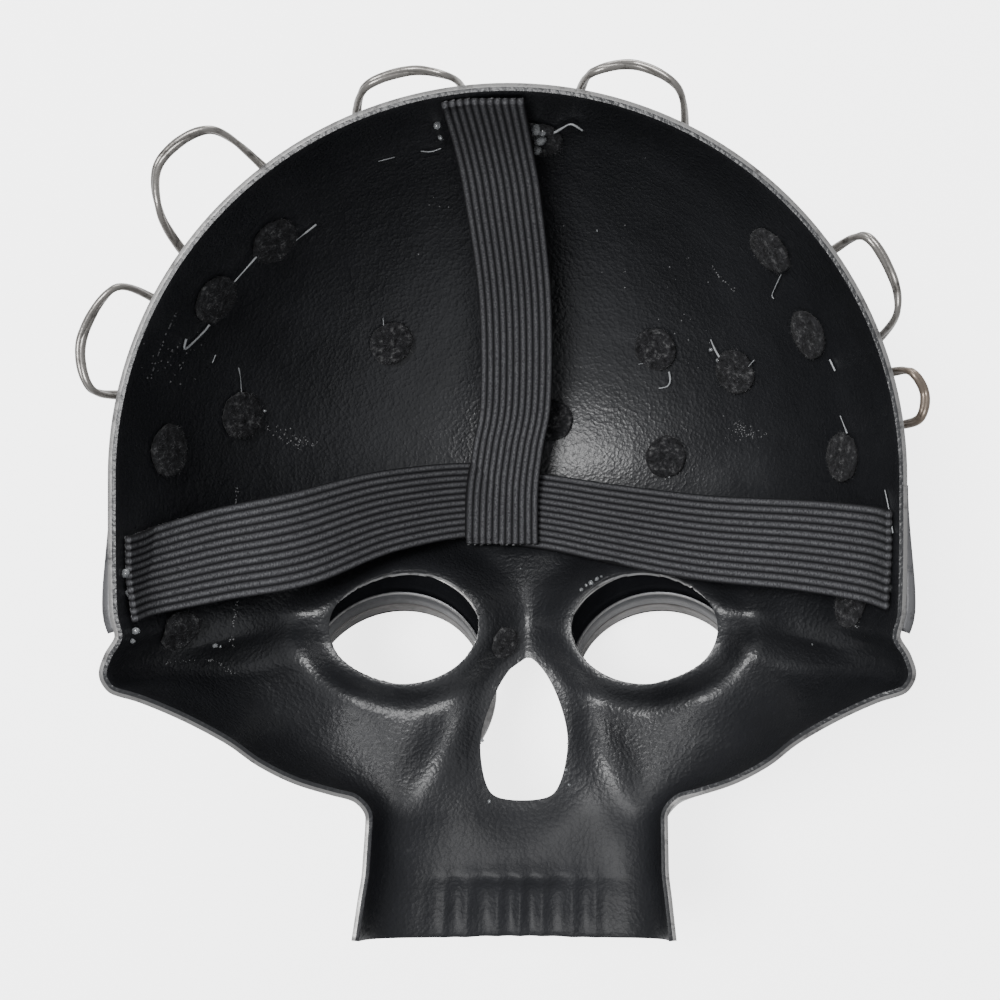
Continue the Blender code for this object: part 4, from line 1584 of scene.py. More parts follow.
@dataclass
class ElasticStrap:
    """One elastic strap: ribbed sheet that follows a table of its middle line, with its wound threads."""

    name: str
    table: Table
    turn_deg: float
    ribs: int
    tick: float
    slant_deg: float
    light: float
    thickness: float = 0.0010
    rib_height: float = 0.00024
    columns_per_rib: int = 6
    steps: int = 16
    clearance: float = 0.0011

    def grid(self, shell: Shell, under: BVHTree | None) -> Grid:
        """Middle surface of the strap, straight across and clear of what it passes over.

        Args:
            shell: the shell that it hangs in.
            under: lookup tree of the strap under it.

        Returns:
            The middle surface.
        """
        columns = self.ribs * self.columns_per_rib
        shares = [c / columns for c in range(columns + 1)]
        rows, lifts = [], []
        for x, y, depth, width, lean_deg in curve_through(self.table, self.steps):
            angle = math.radians(self.turn_deg + lean_deg)
            crosswise = Vector((math.cos(angle), math.sin(angle), 0.0))
            row = [mask_point(x, y, depth) + crosswise * (width * (share - 0.5)) for share in shares]
            rows.append(row)
            lifts.append(self.edge_lifts(shell, row, shares))
        lifts = self.evened_lifts(lifts)
        grid = []
        for row, (low, high) in zip(rows, lifts):
            level = [p + Vector((0.0, 0.0, low * (1.0 - t) + high * t)) for p, t in zip(row, shares)]
            clear = [shell.pushed(point, self.clearance) for point in level]
            grid.append([self.raised(under, point) for point in clear] if under else clear)
        return grid

    def edge_lifts(self, shell: Shell, row: Sequence[Vector], shares: Sequence[float]) -> tuple[float, float]:
        """How far each edge has to rise for the straight row to clear the shell.

        Args:
            shell: the shell.
            row: points across the strap.
            shares: share of the width at each.

        Returns:
            Lift of the first edge and of the last.
        """
        low = high = 0.0
        for point, share in list(zip(row, shares))[::3]:
            place, normal, _index, _gap = shell.inner.ray_cast(point + ABOVE, DOWN)
            if place is None or normal.z < 0.5:
                continue
            need = place.z + self.clearance / normal.z - point.z
            if share < 0.5:
                low = max(low, need / (1.0 - share))
            else:
                high = max(high, need / share)
        return low, high

    @staticmethod
    def evened_lifts(lifts: Sequence[tuple[float, float]], reach: int = 9) -> list[tuple[float, float]]:
        """Lifts spread smoothly along the strap, never less than needed by much.

        Args:
            lifts: lift of both edges at each row.
            reach: rows on each side that count.

        Returns:
            The smoothed lifts.
        """
        count = len(lifts)
        spread = []
        for i in range(count):
            near = [lifts[k] for k in range(max(i - reach, 0), min(i + reach + 1, count))]
            spread.append((max(n[0] for n in near), max(n[1] for n in near)))
        smooth = []
        for i in range(count):
            near = [spread[k] for k in range(max(i - reach, 0), min(i + reach + 1, count))]
            smooth.append((sum(n[0] for n in near) / len(near), sum(n[1] for n in near) / len(near)))
        return smooth

    def raised(self, under: BVHTree, point: Vector) -> Vector:
        """The point lifted clear of the strap that passes under it.

        Args:
            under: lookup tree of the lower strap.
            point: the point.

        Returns:
            The point, lifted if it was too low.
        """
        place, normal, _index, _gap = under.ray_cast(point + ABOVE, DOWN)
        if place is None:
            return point
        lift = (self.thickness + 2.0 * self.rib_height + 0.0006) / max(abs(normal.z), 0.3)
        return Vector((point.x, point.y, max(point.z, place.z + lift)))

    def crests(self, rows: Grid) -> bpy.types.Object:
        """Net of points on the crests of the ribs, one for each thread, with the strap's run at each.

        Args:
            rows: middle surface of the strap.

        Returns:
            The net, for a tree to read.
        """
        per = self.columns_per_rib
        middle = len(rows[0]) // 2
        normals = grid_normals(rows)
        height = self.thickness / 2.0 + self.rib_height * 0.72
        along = [0.0]
        for before, after in zip(rows, rows[1:]):
            along.append(along[-1] + (after[middle] - before[middle]).length)
        count = int(along[-1] / self.tick)
        points, runs = [], []
        for k in range(count):
            at = (k + 0.5) * self.tick
            r = max(i for i in range(len(along) - 1) if along[i] <= at)
            share = (at - along[r]) / (along[r + 1] - along[r])
            for rib in range(self.ribs):
                c = rib * per + per // 2
                low = rows[r][c] + normals[r][c] * height
                high = rows[r + 1][c] + normals[r + 1][c] * height
                points.append(low.lerp(high, share))
                runs.append((high - low).normalized())
        faces = [
            (k * self.ribs + c, k * self.ribs + c + 1, (k + 1) * self.ribs + c + 1, (k + 1) * self.ribs + c)
            for k in range(count - 1)
            for c in range(self.ribs - 1)
        ]
        mesh = mesh_from("crests", points, faces)
        layer = mesh.attributes.new("run", "FLOAT_VECTOR", "POINT")
        for item, run in zip(layer.data, runs):
            item.vector = run
        return new_object("crests", mesh)

    def build(
        self, shell: Shell, windings: Tree, under: BVHTree | None = None
    ) -> tuple[bpy.types.Object, Grid]:
        """Builds the strap.

        Args:
            shell: the shell that it hangs in.
            windings: tree of the wound threads.
            under: lookup tree of the strap under it.

        Returns:
            The piece and its middle surface.
        """
        rows = self.grid(shell, under)
        per = self.columns_per_rib

        def rib(_row: int, column: int) -> float:
            """Height of the ribbed face above the middle."""
            share = (column % per) / per
            return self.thickness / 2.0 + self.rib_height * math.sin(math.pi * share) ** 0.6

        mesh = thick_sheet(self.name, rows, rib, rib)
        # The ground's colour carries painted shade in the grooves between the ribs.
        ground = RibbedElastic(self.name + "_ground", self.ribs).make()
        piece = finished(new_object(self.name + "_webbing", mesh, ground), Slot.ELASTIC, self.name)
        thread = CoveringThread(self.name + "_thread", self.light).make()
        sizes = {"Length": 0.0019, "Width": self.tick * 0.62, "Height": 0.00046}
        sizes["Slant"] = math.radians(self.slant_deg)
        finished(windings.grow(self.name + "_threads", self.crests(rows), thread, **sizes), Slot.ELASTIC)
        return piece, rows


def grid_tree(rows: Grid) -> BVHTree:
    """Lookup tree of a grid of points.

    Args:
        rows: the grid.

    Returns:
        The tree.
    """
    width = len(rows[0])
    faces = [
        (r * width + c, r * width + c + 1, (r + 1) * width + c + 1, (r + 1) * width + c)
        for r in range(len(rows) - 1)
        for c in range(width - 1)
    ]
    return BVHTree.FromPolygons([point for row in rows for point in row], faces)


@dataclass
class Straps:
    """Both elastic straps, sewn one over the other where they cross."""

    across: Table = (
        # x, y, depth, width, lean_deg
        (-0.0857, -0.0179, 0.0035, 0.0195, 9.0),
        (-0.0843, -0.0168, 0.0120, 0.0200, 10.0),
        (-0.0725, -0.0134, 0.0240, 0.0225, 11.0),
        (-0.0559, -0.0099, 0.0350, 0.0240, 13.0),
        (-0.0383, -0.0033, 0.0550, 0.0225, 12.0),
        (-0.0178, 0.0000, 0.0755, 0.0215, 6.0),
        (-0.0040, -0.0022, 0.0800, 0.0215, 0.0),
        (0.0085, -0.0040, 0.0795, 0.0215, -6.0),
        (0.0230, -0.0065, 0.0715, 0.0220, -9.0),
        (0.0472, -0.0099, 0.0500, 0.0225, -8.0),
        (0.0700, -0.0112, 0.0280, 0.0225, -6.0),
        (0.0822, -0.0125, 0.0130, 0.0225, -4.0),
        (0.0858, -0.0136, 0.0040, 0.0225, -3.0),
    )
    crown: Table = (
        # x, y, depth, width, lean_deg
        (-0.0062, 0.0905, 0.0050, 0.0190, 0.0),
        (-0.0052, 0.0850, 0.0210, 0.0190, 0.0),
        (-0.0041, 0.0763, 0.0340, 0.0195, 0.0),
        (-0.0029, 0.0551, 0.0570, 0.0200, 0.0),
        (-0.0039, 0.0291, 0.0715, 0.0205, 0.0),
        (-0.0064, 0.0148, 0.0742, 0.0205, 0.0),
        (-0.0078, 0.0030, 0.0744, 0.0205, 0.0),
        (-0.0076, -0.0125, 0.0690, 0.0205, 0.0),
    )

    def build(self, shell: Shell, windings: Tree) -> None:
        """Builds the straps with their threads.

        Args:
            shell: the shell that they hang in.
            windings: tree of the wound threads.
        """
        lower = ElasticStrap(
            "strap_across", self.across, turn_deg=90.0, ribs=12, tick=0.00094, slant_deg=74.0, light=0.150
        )
        upper = ElasticStrap(
            "strap_crown", self.crown, turn_deg=0.0, ribs=11, tick=0.00112, slant_deg=52.0, light=0.135
        )
        across, rows = lower.build(shell, windings)
        crown, crown_rows = upper.build(shell, windings, grid_tree(rows))

    @staticmethod
    def length(rows: Grid) -> float:
        """Length of a strap along its middle."""
        middle = len(rows[0]) // 2
        return sum((b[middle] - a[middle]).length for a, b in zip(rows, rows[1:]))


@dataclass
class FeltDots:
    """Felt discs glued over the fixings inside the shell."""

    fuzz_density: float = 2.2e6
    quick_density: float = 6.0e5
    thickness: float = 0.0014
    rings: int = 7
    sides: int = 40
    dots: tuple[tuple[int, float, float, float], ...] = (
        # number, x, y, radius
        (1, -0.0597, 0.0639, 0.0062),
        (2, -0.0727, 0.0487, 0.0062),
        (3, -0.0395, 0.0450, 0.0062),
        (4, -0.0739, 0.0222, 0.0062),
        (5, -0.0842, 0.0120, 0.0062),
        (6, -0.0812, -0.0312, 0.0052),
        (7, 0.0625, 0.0613, 0.0062),
        (8, 0.0732, 0.0417, 0.0062),
        (9, 0.0367, 0.0437, 0.0062),
        (10, 0.0582, 0.0356, 0.0062),
        (11, 0.0400, 0.0126, 0.0062),
        (12, 0.0816, 0.0107, 0.0062),
        (13, 0.0818, -0.0255, 0.0052),
        (14, -0.0061, -0.0391, 0.0041),
        (15, 0.0052, 0.0890, 0.0062),
        (16, 0.0058, 0.0241, 0.0062),
    )

    def disc(self, shell: Shell, number: int, x: float, y: float, radius: float) -> bpy.types.Mesh:
        """One disc, laid to the shell's curve, with an uneven cut edge and a matted face.

        Args:
            shell: the shell.
            number: number of the disc, also its seed.
            x: place across.
            y: place upward.
            radius: its radius.

        Returns:
            The mesh.
        """
        middle, normal = shell.dropped(x, y)
        side = normal.orthogonal().normalized()
        up = normal.cross(side)
        chance = random.Random(number)
        waves = [(k, chance.uniform(0.0, math.tau), chance.uniform(0.004, 0.022)) for k in (2, 3, 5, 8)]
        points: list[Vector] = []
        profile = [(i / self.rings, 1.0) for i in range(self.rings + 1)] + [(1.02, 0.5), (0.98, 0.0)]
        for share, level in profile[1:]:
            for k in range(self.sides):
                angle = math.tau * k / self.sides
                edge = 1.0 + sum(size * math.sin(n * angle + start) for n, start, size in waves)
                reach = radius * share * edge
                place = middle + (side * math.cos(angle) + up * math.sin(angle)) * reach
                seat, facing, _index, _gap = shell.inner.find_nearest(place)
                lump = chance.uniform(-0.00011, 0.00011) if level else 0.0
                drop = 0.00025 * share**6
                height = self.thickness * level * (1.0 - drop) + lump - drop * level
                points.append(seat + facing * (SEAT_GAP * 0.5 + height))
        points.append(middle + normal * (SEAT_GAP * 0.5 + self.thickness))
        points.append(middle + normal * SEAT_GAP * 0.5)
        top, foot = len(points) - 2, len(points) - 1
        count = len(profile) - 1
        faces: list[tuple[int, ...]] = []
        for k in range(self.sides):
            n = (k + 1) % self.sides
            faces.append((top, k, n))
            for ring in range(count - 1):
                a, b = ring * self.sides, (ring + 1) * self.sides
                faces.append((a + k, b + k, b + n, a + n))
            a = (count - 1) * self.sides
            faces.append((a + k, foot, a + n))
        mesh = mesh_from("felt", points, faces)
        closed_outward(mesh)
        return mesh

    def build(self, shell: Shell, fuzz: Tree) -> None:
        """Builds every disc with its stray fibres.

        Args:
            shell: the shell that they lie on.
            fuzz: tree of the stray fibres.
        """
        felt = Felt().make()
        fibre = Felt("felt_fibre", 3.2).make()
        for number, x, y, radius in self.dots:
            mesh = self.disc(shell, number, x, y, radius)
            name = f"felt_dot_{number:02d}"
            source = new_object("fuzz_source", mesh.copy(), fibre)
            density = self.fuzz_density
            finished(fuzz.grow(name + "_fuzz", source, fibre, Density=density), Slot.FELT)
            finished(new_object(name + "_disc", mesh, felt), Slot.FELT, name)


@dataclass
class WireLoops:
    """The twisted wire loops outside the rim."""

    radius: float = 0.0011
    foot_depth: float = 0.0120
    foot_rise: float = 0.0022
    loops: Table = (
        # number, foot_x, foot_y, depth_1, x_1, y_1, apex_x, apex_y, x_2, y_2, end_x, end_y
        (1, -0.0775, 0.0440, 0.0020, -0.0880, 0.0475, -0.0955, 0.0360, -0.0935, 0.0250, -0.0855, 0.0235),
        (2, -0.0535, 0.0725, 0.0010, -0.0660, 0.0825, -0.0775, 0.0755, -0.0775, 0.0640, -0.0725, 0.0545),
        (3, -0.0345, 0.0850, 0.0030, -0.0320, 0.0930, -0.0220, 0.0965, -0.0135, 0.0952, -0.0110, 0.0915),
        (4, 0.0150, 0.0905, 0.0030, 0.0190, 0.0962, 0.0285, 0.0978, 0.0378, 0.0930, 0.0385, 0.0840),
        (5, 0.0715, 0.0560, 0.0020, 0.0800, 0.0590, 0.0860, 0.0500, 0.0870, 0.0420, 0.0825, 0.0365),
        (6, 0.0855, 0.0290, 0.0030, 0.0905, 0.0288, 0.0935, 0.0240, 0.0925, 0.0185, 0.0872, 0.0170),
    )

    def build(self, shell: Shell, wire: Tree) -> None:
        """Builds the six loops.

        Args:
            shell: the shell that they stand on.
            wire: tree of the wire.
        """
        antique = ((0.20, 0.190, 0.178), (0.024, 0.021, 0.018))
        browned = ((0.17, 0.138, 0.112), (0.022, 0.015, 0.011))
        silver = SilverPaint(
            "antique_silver", *antique, roughness=0.28, metallic=0.75, wear_scale=300.0
        ).make()
        brown = SilverPaint("browned_silver", *browned, roughness=0.34, metallic=0.7, wear_scale=220.0).make()
        seat = self.radius + SEAT_GAP
        for number, foot_x, foot_y, depth, x_1, y_1, apex_x, apex_y, x_2, y_2, end_x, end_y in self.loops:
            feet = []
            for x, y in ((foot_x, foot_y), (end_x, end_y)):
                place, normal, _index, _gap = shell.outer.find_nearest(mask_point(x, y, self.foot_depth))
                feet.append((place - normal * 0.0004, place - normal * (seat + self.foot_rise)))
            bow = [mask_point(*p) for p in ((x_1, y_1, depth), (apex_x, apex_y, depth), (x_2, y_2, depth))]
            rows = [feet[0][0], feet[0][1], *bow, feet[1][1], feet[1][0]]
            path = [Vector(row) for row in curve_through([tuple(r) for r in rows], 12)]
            path[2:-2] = [shell.pushed(point, seat, True) for point in path[2:-2]]
            source = curve_source(path, 1)
            finish = brown if number == 6 else silver
            loop = wire.grow(f"wire_loop_{int(number)}_twist", source, finish)
            finished(loop, Slot.WIRE, f"wire_loop_{int(number)}")


@dataclass
class Goggle:
    """One goggle: a cup whose skirt follows the mask, the skirt's black inside being painted shade, a dark
    seam and the bezel in front.
    """

    side: Side
    place: tuple[float, float, float] = (0.0360, -0.0466, 0.0577)
    pitch: float = math.radians(29.0)
    splay: float = math.radians(5.5)
    bore: float = 0.0242
    cup_length: float = 0.0106
    cup_radius: float = 0.0264
    cup_back: float = 0.0035
    skirt_reach: float = 0.0200
    skirt_bore: float = 0.0250
    skirt_wall: float = 0.0013
    bezel_radius: float = 0.0280
    bezel_bore: float = 0.0250
    bezel_length: float = 0.0092
    sides: int = 128

    def matrix(self) -> Matrix:
        """Place of the goggle: its own +Z runs forward, out of the face and down to the floor.

        Returns:
            The matrix.
        """
        forward = Vector(
            (
                self.side.value * math.sin(self.splay),
                -math.sin(self.pitch) * math.cos(self.splay),
                -math.cos(self.pitch) * math.cos(self.splay),
            )
        )
        across = Vector((0.0, math.cos(self.pitch), -math.sin(self.pitch))).cross(forward).normalized()
        upward = forward.cross(across)
        x, y, depth = self.place
        turn = Matrix((across, upward, forward)).transposed().to_4x4()
        return Matrix.Translation(mask_point(self.side.value * x, y, depth)) @ turn

    def turned(
        self,
        name: str,
        shell: Shell,
        profile: Profile,
        *finishes: bpy.types.Material,
    ) -> bpy.types.Object:
        """Closed ring, cut back where it would reach through the shell.

        Args:
            name: name of the object.
            shell: the shell that it stands in front of.
            profile: radius, height and finish number of each point and of the band that follows it.
            finishes: the finishes.

        Returns:
            The ring.
        """
        matrix = self.matrix()
        forward = matrix.to_3x3() @ Vector((0.0, 0.0, 1.0))
        points: list[Vector] = []
        for i in range(self.sides):
            angle = math.tau * i / self.sides
            for radius, height, _finish in profile:
                place = matrix @ Vector((radius * math.cos(angle), radius * math.sin(angle), height))
                points.append(shell.in_front(place, forward, 0.0005))
        count = len(profile)
        faces = []
        for i in range(self.sides):
            n = (i + 1) % self.sides
            for k in range(count):
                m = (k + 1) % count
                faces.append((i * count + k, n * count + k, n * count + m, i * count + m))
        mesh = mesh_from(name, points, faces)
        ring = new_object(name, mesh, *finishes)
        for polygon in mesh.polygons:
            polygon.material_index = profile[polygon.index % count][2]
        closed_outward(mesh)
        return ring

    def skirt_profile(self) -> Profile:
        """Thin black tube behind the cup, silver outside; its black inside is a dark sheet that stands in for
        the shade in the gap between the shell and the cup.

        Returns:
            Radius, height and finish number of each point.
        """
        steps = 14
        inner, outer, bore = self.skirt_bore, self.skirt_bore + self.skirt_wall, self.bore + 0.0006
        profile = [(inner, -self.skirt_reach * (1.0 - k / steps), 0) for k in range(steps)]
        profile += [(inner, -0.0012, 0), (bore, -0.0004, 0), (bore, 0.0038, 0)]
        profile += [(outer - 0.0004, 0.0038, 1), (outer, 0.0034, 1)]
        profile += [(outer, -self.skirt_reach * k / steps, 1) for k in range(steps + 1)]
        return profile

    def cup_profile(self) -> Profile:
        """The cup's ring, with a bright line at the back of its bore.

        Returns:
            Radius, height and finish number of each point.
        """
        back, bore, radius, length = self.cup_back, self.bore, self.cup_radius, self.cup_length
        return [
            (bore + 0.0010, back, 0),
            (bore + 0.0003, back + 0.0001, 2),
            (bore, back + 0.0005, 0),
            (bore, length - 0.0004, 0),
            (bore + 0.0004, length, 0),
            (radius - 0.0005, length, 1),
            (radius, length - 0.0005, 1),
            (radius, back, 1),
        ]

    def seal_profile(self) -> Profile:
        """The dark seam between the cup and the bezel.

        Returns:
            Radius, height and finish number of each point.
        """
        inner, outer = self.bore + 0.0008, self.bore + 0.0015
        low, high = self.cup_length - 0.0008, self.cup_length + 0.0010
        return [(inner, low, 0), (inner, high, 0), (outer, high, 0), (outer, low, 0)]

    def bezel_profile(self) -> Profile:
        """The bezel's ring, with a dark groove and a dark lip in its bore.

        Returns:
            Radius, height and finish number of each point.
        """
        start = self.cup_length + SEAT_GAP
        front, lip = start + self.bezel_length, start + 0.0056
        bore, radius = self.bezel_bore, self.bezel_radius
        return [
            (bore - 0.0004, start, 0),
            (bore - 0.0006, start + 0.0005, 0),
            (bore - 0.0006, start + 0.0026, 1),
            (bore - 0.0004, start + 0.0028, 0),
            (bore - 0.0005, lip - 0.0004, 0),
            (bore + 0.0001, lip, 1),
            (bore + 0.0006, lip + 0.0004, 1),
            (bore + 0.0006, front - 0.0006, 2),
            (bore + 0.0010, front, 2),
            (radius - 0.0008, front, 2),
            (radius - 0.0002, front - 0.0003, 2),
            (radius, front - 0.0009, 2),
            (radius, front - 0.0034, 2),
            (self.cup_radius, front - 0.0046, 2),
            (self.cup_radius, start + 0.0004, 2),
            (self.cup_radius - 0.0004, start, 2),
        ]

    def build(self, shell: Shell) -> None:
        """Builds the skirt, the cup, the seal and the bezel.

        Args:
            shell: the shell that they stand in front of.
        """
        word = self.side.word
        black = GrainedPlastic("goggle_black_" + word, 0.0014, 0.00005, gloss=0.0, jaw_gloss=0.0).make()
        bore_tones = ((0.066, 0.067, 0.071), (0.032, 0.032, 0.035))
        bezel_tones = ((0.150, 0.142, 0.138), (0.08, 0.075, 0.072))
        inside = SilverPaint("cup_silver_" + word, *bore_tones, metallic=0.5, wear_scale=70.0).make()
        warm = SilverPaint("bezel_silver_" + word, *bezel_tones, metallic=0.5, wear_scale=80.0).make()
        silver = SilverPaint("goggle_silver_" + word, *OUTSIDE_TONES, roughness=0.38, metallic=0.8).make()
        # Painted shade: the skirt's black inside fills the shaded gap between the shell and the cup.
        skirt = self.turned(f"goggle_skirt_{word}", shell, self.skirt_profile(), black, silver)
        finished(skirt, Slot.CUP)
        cup = self.turned(f"goggle_cup_{word}_ring", shell, self.cup_profile(), inside, silver, silver)
        finished(cup, Slot.CUP, "goggle_cup_" + word)
        finished(self.turned(f"goggle_seal_{word}", shell, self.seal_profile(), black), Slot.CUP)
        bezel = self.turned(f"goggle_bezel_{word}_ring", shell, self.bezel_profile(), warm, black, silver)
        finished(bezel, Slot.BEZEL, "goggle_bezel_" + word)


@dataclass
class TempleStraps:
    """The flat silver goggle strap outside each temple."""

    thickness: tuple[float, float] = (0.0010, 0.0029)
    across: int = 14
    table: Table = (
        # share, top_row, bottom_row
        (0.999, 0.15, 3.75),
        (0.970, 0.30, 3.60),
        (0.900, 0.55, 3.45),
        (0.820, 0.90, 3.35),
        (0.740, 1.25, 3.25),
    )

    def thickness_at(self, step: int) -> float:
        """Thickness at one step across the strap."""
        thin, thick = self.thickness
        return thin + (thick - thin) * math.sin(math.pi * 0.62 * step / self.across) ** 2

    def build(self, shell: Shell) -> None:
        """Builds both straps.

        Args:
            shell: the shell that they lie on.
        """
        tones = ((0.13, 0.13, 0.135), (0.022, 0.022, 0.025))
        silver = SilverPaint("strap_silver", *tones, roughness=0.40, metallic=0.5, wear_scale=260.0).make()
        for side in Side:
            rows = []
            for share, top, bottom in curve_through(self.table, 8):
                row = []
                for step in range(self.across + 1):
                    place = top + (bottom - top) * step / self.across
                    point = shell.form.face_row(place, [side.value * min(share, 0.999)])[0]
                    near, normal, _index, _gap = shell.outer.find_nearest(point)
                    row.append(near - normal * (SEAT_GAP + self.thickness_at(step) / 2.0))
                rows.append(row)

            def half(_row: int, column: int) -> float:
                """Half the thickness at a column."""
                return self.thickness_at(column) / 2.0

            mesh = thick_sheet("temple_strap", rows, half, half)
            piece = new_object(f"goggle_strap_{side.word}_band", mesh, silver)
            finished(piece, Slot.TEMPLE, "goggle_strap_" + side.word)


@dataclass
class Glue:
    """Beads, fine strands and crumbs of set glue on the inner face."""

    bead_lift: float = 0.0001
    crumb_lift: float = 0.00005
    crumb_sizes: tuple[float, float] = (0.00008, 0.00026)
    strands: tuple[tuple[str, float, float, tuple[tuple[float, float], ...]], ...] = (
        # name, radius, lift, plan places
        ("dot_1_tail", 0.00022, 0.0006, ((-0.0509, 0.0694), (-0.0561, 0.0651))),
        ("dots_1_2_bridge", 0.00017, 0.0016, ((-0.0640, 0.0600), (-0.0692, 0.0536))),
        (
            "dot_2_tail",
            0.00022,
            0.0006,
            ((-0.0751, 0.0429), (-0.0764, 0.0407), (-0.0792, 0.0363), (-0.0785, 0.0386)),
        ),
        ("dot_2_crumb", 0.00014, 0.0003, ((-0.0766, 0.0343), (-0.0758, 0.0363))),
        ("dot_4_tail", 0.00012, 0.0006, ((-0.0730, 0.0342), (-0.0731, 0.0315), (-0.0734, 0.0281))),
        ("dot_3_hair", 0.00009, 0.0008, ((-0.0408, 0.0514), (-0.0409, 0.0485))),
        ("crown_left", 0.00016, 0.0006, ((-0.0235, 0.0858), (-0.0212, 0.0861), (-0.0187, 0.0868))),
        (
            "crown_right",
            0.00020,
            0.0012,
            ((0.0052, 0.0900), (0.0092, 0.0896), (0.0115, 0.0898), (0.0139, 0.0899), (0.0165, 0.0891)),
        ),
        ("crown_hair", 0.00010, 0.0003, ((-0.0335, 0.0826), (-0.0297, 0.0839))),
        (
            "dot_7_tail",
            0.00013,
            0.0007,
            ((0.0657, 0.0561), (0.0651, 0.0541), (0.0647, 0.0524), (0.0652, 0.0516)),
        ),
        ("dot_8_tail", 0.00020, 0.0006, ((0.0776, 0.0348), (0.0788, 0.0319))),
        (
            "dot_9_tail",
            0.00022,
            0.0006,
            ((0.0405, 0.0372), (0.0409, 0.0347), (0.0401, 0.0331), (0.0378, 0.0327)),
        ),
        ("dot_9_hair", 0.00013, 0.0012, ((0.0320, 0.0399), (0.0337, 0.0401))),
        (
            "dot_10_tail",
            0.00024,
            0.0010,
            ((0.0516, 0.0448), (0.0531, 0.0416), (0.0556, 0.0377), (0.0572, 0.0354)),
        ),
        ("dot_10_hair", 0.00011, 0.0014, ((0.0629, 0.0382), (0.0617, 0.0367))),
        ("dot_12_tail", 0.00018, 0.0010, ((0.0809, 0.0210), (0.0822, 0.0165))),
        ("dot_11_tail", 0.00026, 0.0005, ((0.0402, 0.0088), (0.0408, 0.0064))),
        ("side_hair", 0.00012, 0.0004, ((0.0865, 0.0023), (0.0867, -0.0014), (0.0869, -0.0074))),
    )
    trails: tuple[tuple[str, int, float, tuple[tuple[float, float], ...]], ...] = (
        # name, crumbs, spread, plan places
        (
            "cheek_left",
            26,
            0.0005,
            ((-0.0718, -0.0243), (-0.0721, -0.0285), (-0.0724, -0.0329), (-0.0733, -0.0369)),
        ),
        (
            "arch_left",
            34,
            0.0004,
            (
                (-0.0842, -0.0393),
                (-0.0793, -0.0399),
                (-0.0771, -0.0408),
                (-0.0750, -0.0441),
                (-0.0727, -0.0445),
            ),
        ),
        ("over_strap_left", 14, 0.0004, ((-0.0747, 0.0034), (-0.0748, 0.0008), (-0.0748, -0.0013))),
        ("under_strap_right", 18, 0.0009, ((0.0802, -0.0273), (0.0813, -0.0285), (0.0821, -0.0299))),
        ("scratch_right", 16, 0.0003, ((0.0499, 0.0619), (0.0526, 0.0586), (0.0560, 0.0554))),
        ("residue_left", 60, 0.0022, ((-0.0687, 0.0189), (-0.0652, 0.0173), (-0.0617, 0.0156))),
        ("residue_right", 70, 0.0026, ((0.0582, 0.0202), (0.0608, 0.0187), (0.0634, 0.0177))),
        (
            "rim_left",
            70,
            0.0030,
            ((-0.0776, 0.0430), (-0.0800, 0.0380), (-0.0822, 0.0325), (-0.0835, 0.0280)),
        ),
        ("crown_dust", 40, 0.0110, ((-0.0300, 0.0780), (0.0300, 0.0700), (0.0450, 0.0450))),
    )
    drops: Table = (
        # x, y, lift, size
        (-0.0868, -0.0165, 0.0006, 0.0011),
        (-0.0866, -0.0185, 0.0006, 0.0008),
        (-0.0866, -0.0212, 0.0006, 0.0009),
        (-0.0853, -0.0297, 0.0008, 0.0009),
        (-0.0857, -0.0316, 0.0006, 0.0006),
        (0.0865, -0.0140, 0.0008, 0.0012),
        (0.0866, -0.0169, 0.0006, 0.0010),
        (0.0865, -0.0200, 0.0006, 0.0012),
        (-0.0181, 0.0891, 0.0006, 0.0010),
        (-0.0182, 0.0880, 0.0006, 0.0007),
        (0.0052, 0.0903, 0.0018, 0.0014),
        (0.0060, 0.0893, 0.0018, 0.0017),
        (0.0050, 0.0882, 0.0016, 0.0015),
        (0.0068, 0.0899, 0.0016, 0.0010),
        (-0.0760, -0.0363, 0.0003, 0.0007),
        (-0.0752, -0.0366, 0.0003, 0.0004),
        (0.0742, -0.0364, 0.0002, 0.0003),
        (-0.0022, -0.0196, 0.0002, 0.0003),
        (0.0196, 0.0731, 0.0002, 0.0003),
        (0.0515, 0.0420, 0.0004, 0.0006),
        (0.0538, 0.0392, 0.0010, 0.0007),
        (-0.0700, 0.0240, 0.0012, 0.0005),
    )
    eye_beads: Table = (
        # x, y, size
        (0.0154, -0.0247, 0.0006),
        (0.0166, -0.0236, 0.0005),
        (0.0179, -0.0229, 0.0008),
        (0.0195, -0.0219, 0.0006),
        (0.0208, -0.0212, 0.0004),
        (-0.0113, -0.0646, 0.0005),
        (0.0114, -0.0718, 0.0006),
        (0.0123, -0.0752, 0.0005),
        (-0.0087, -0.0792, 0.0006),
    )

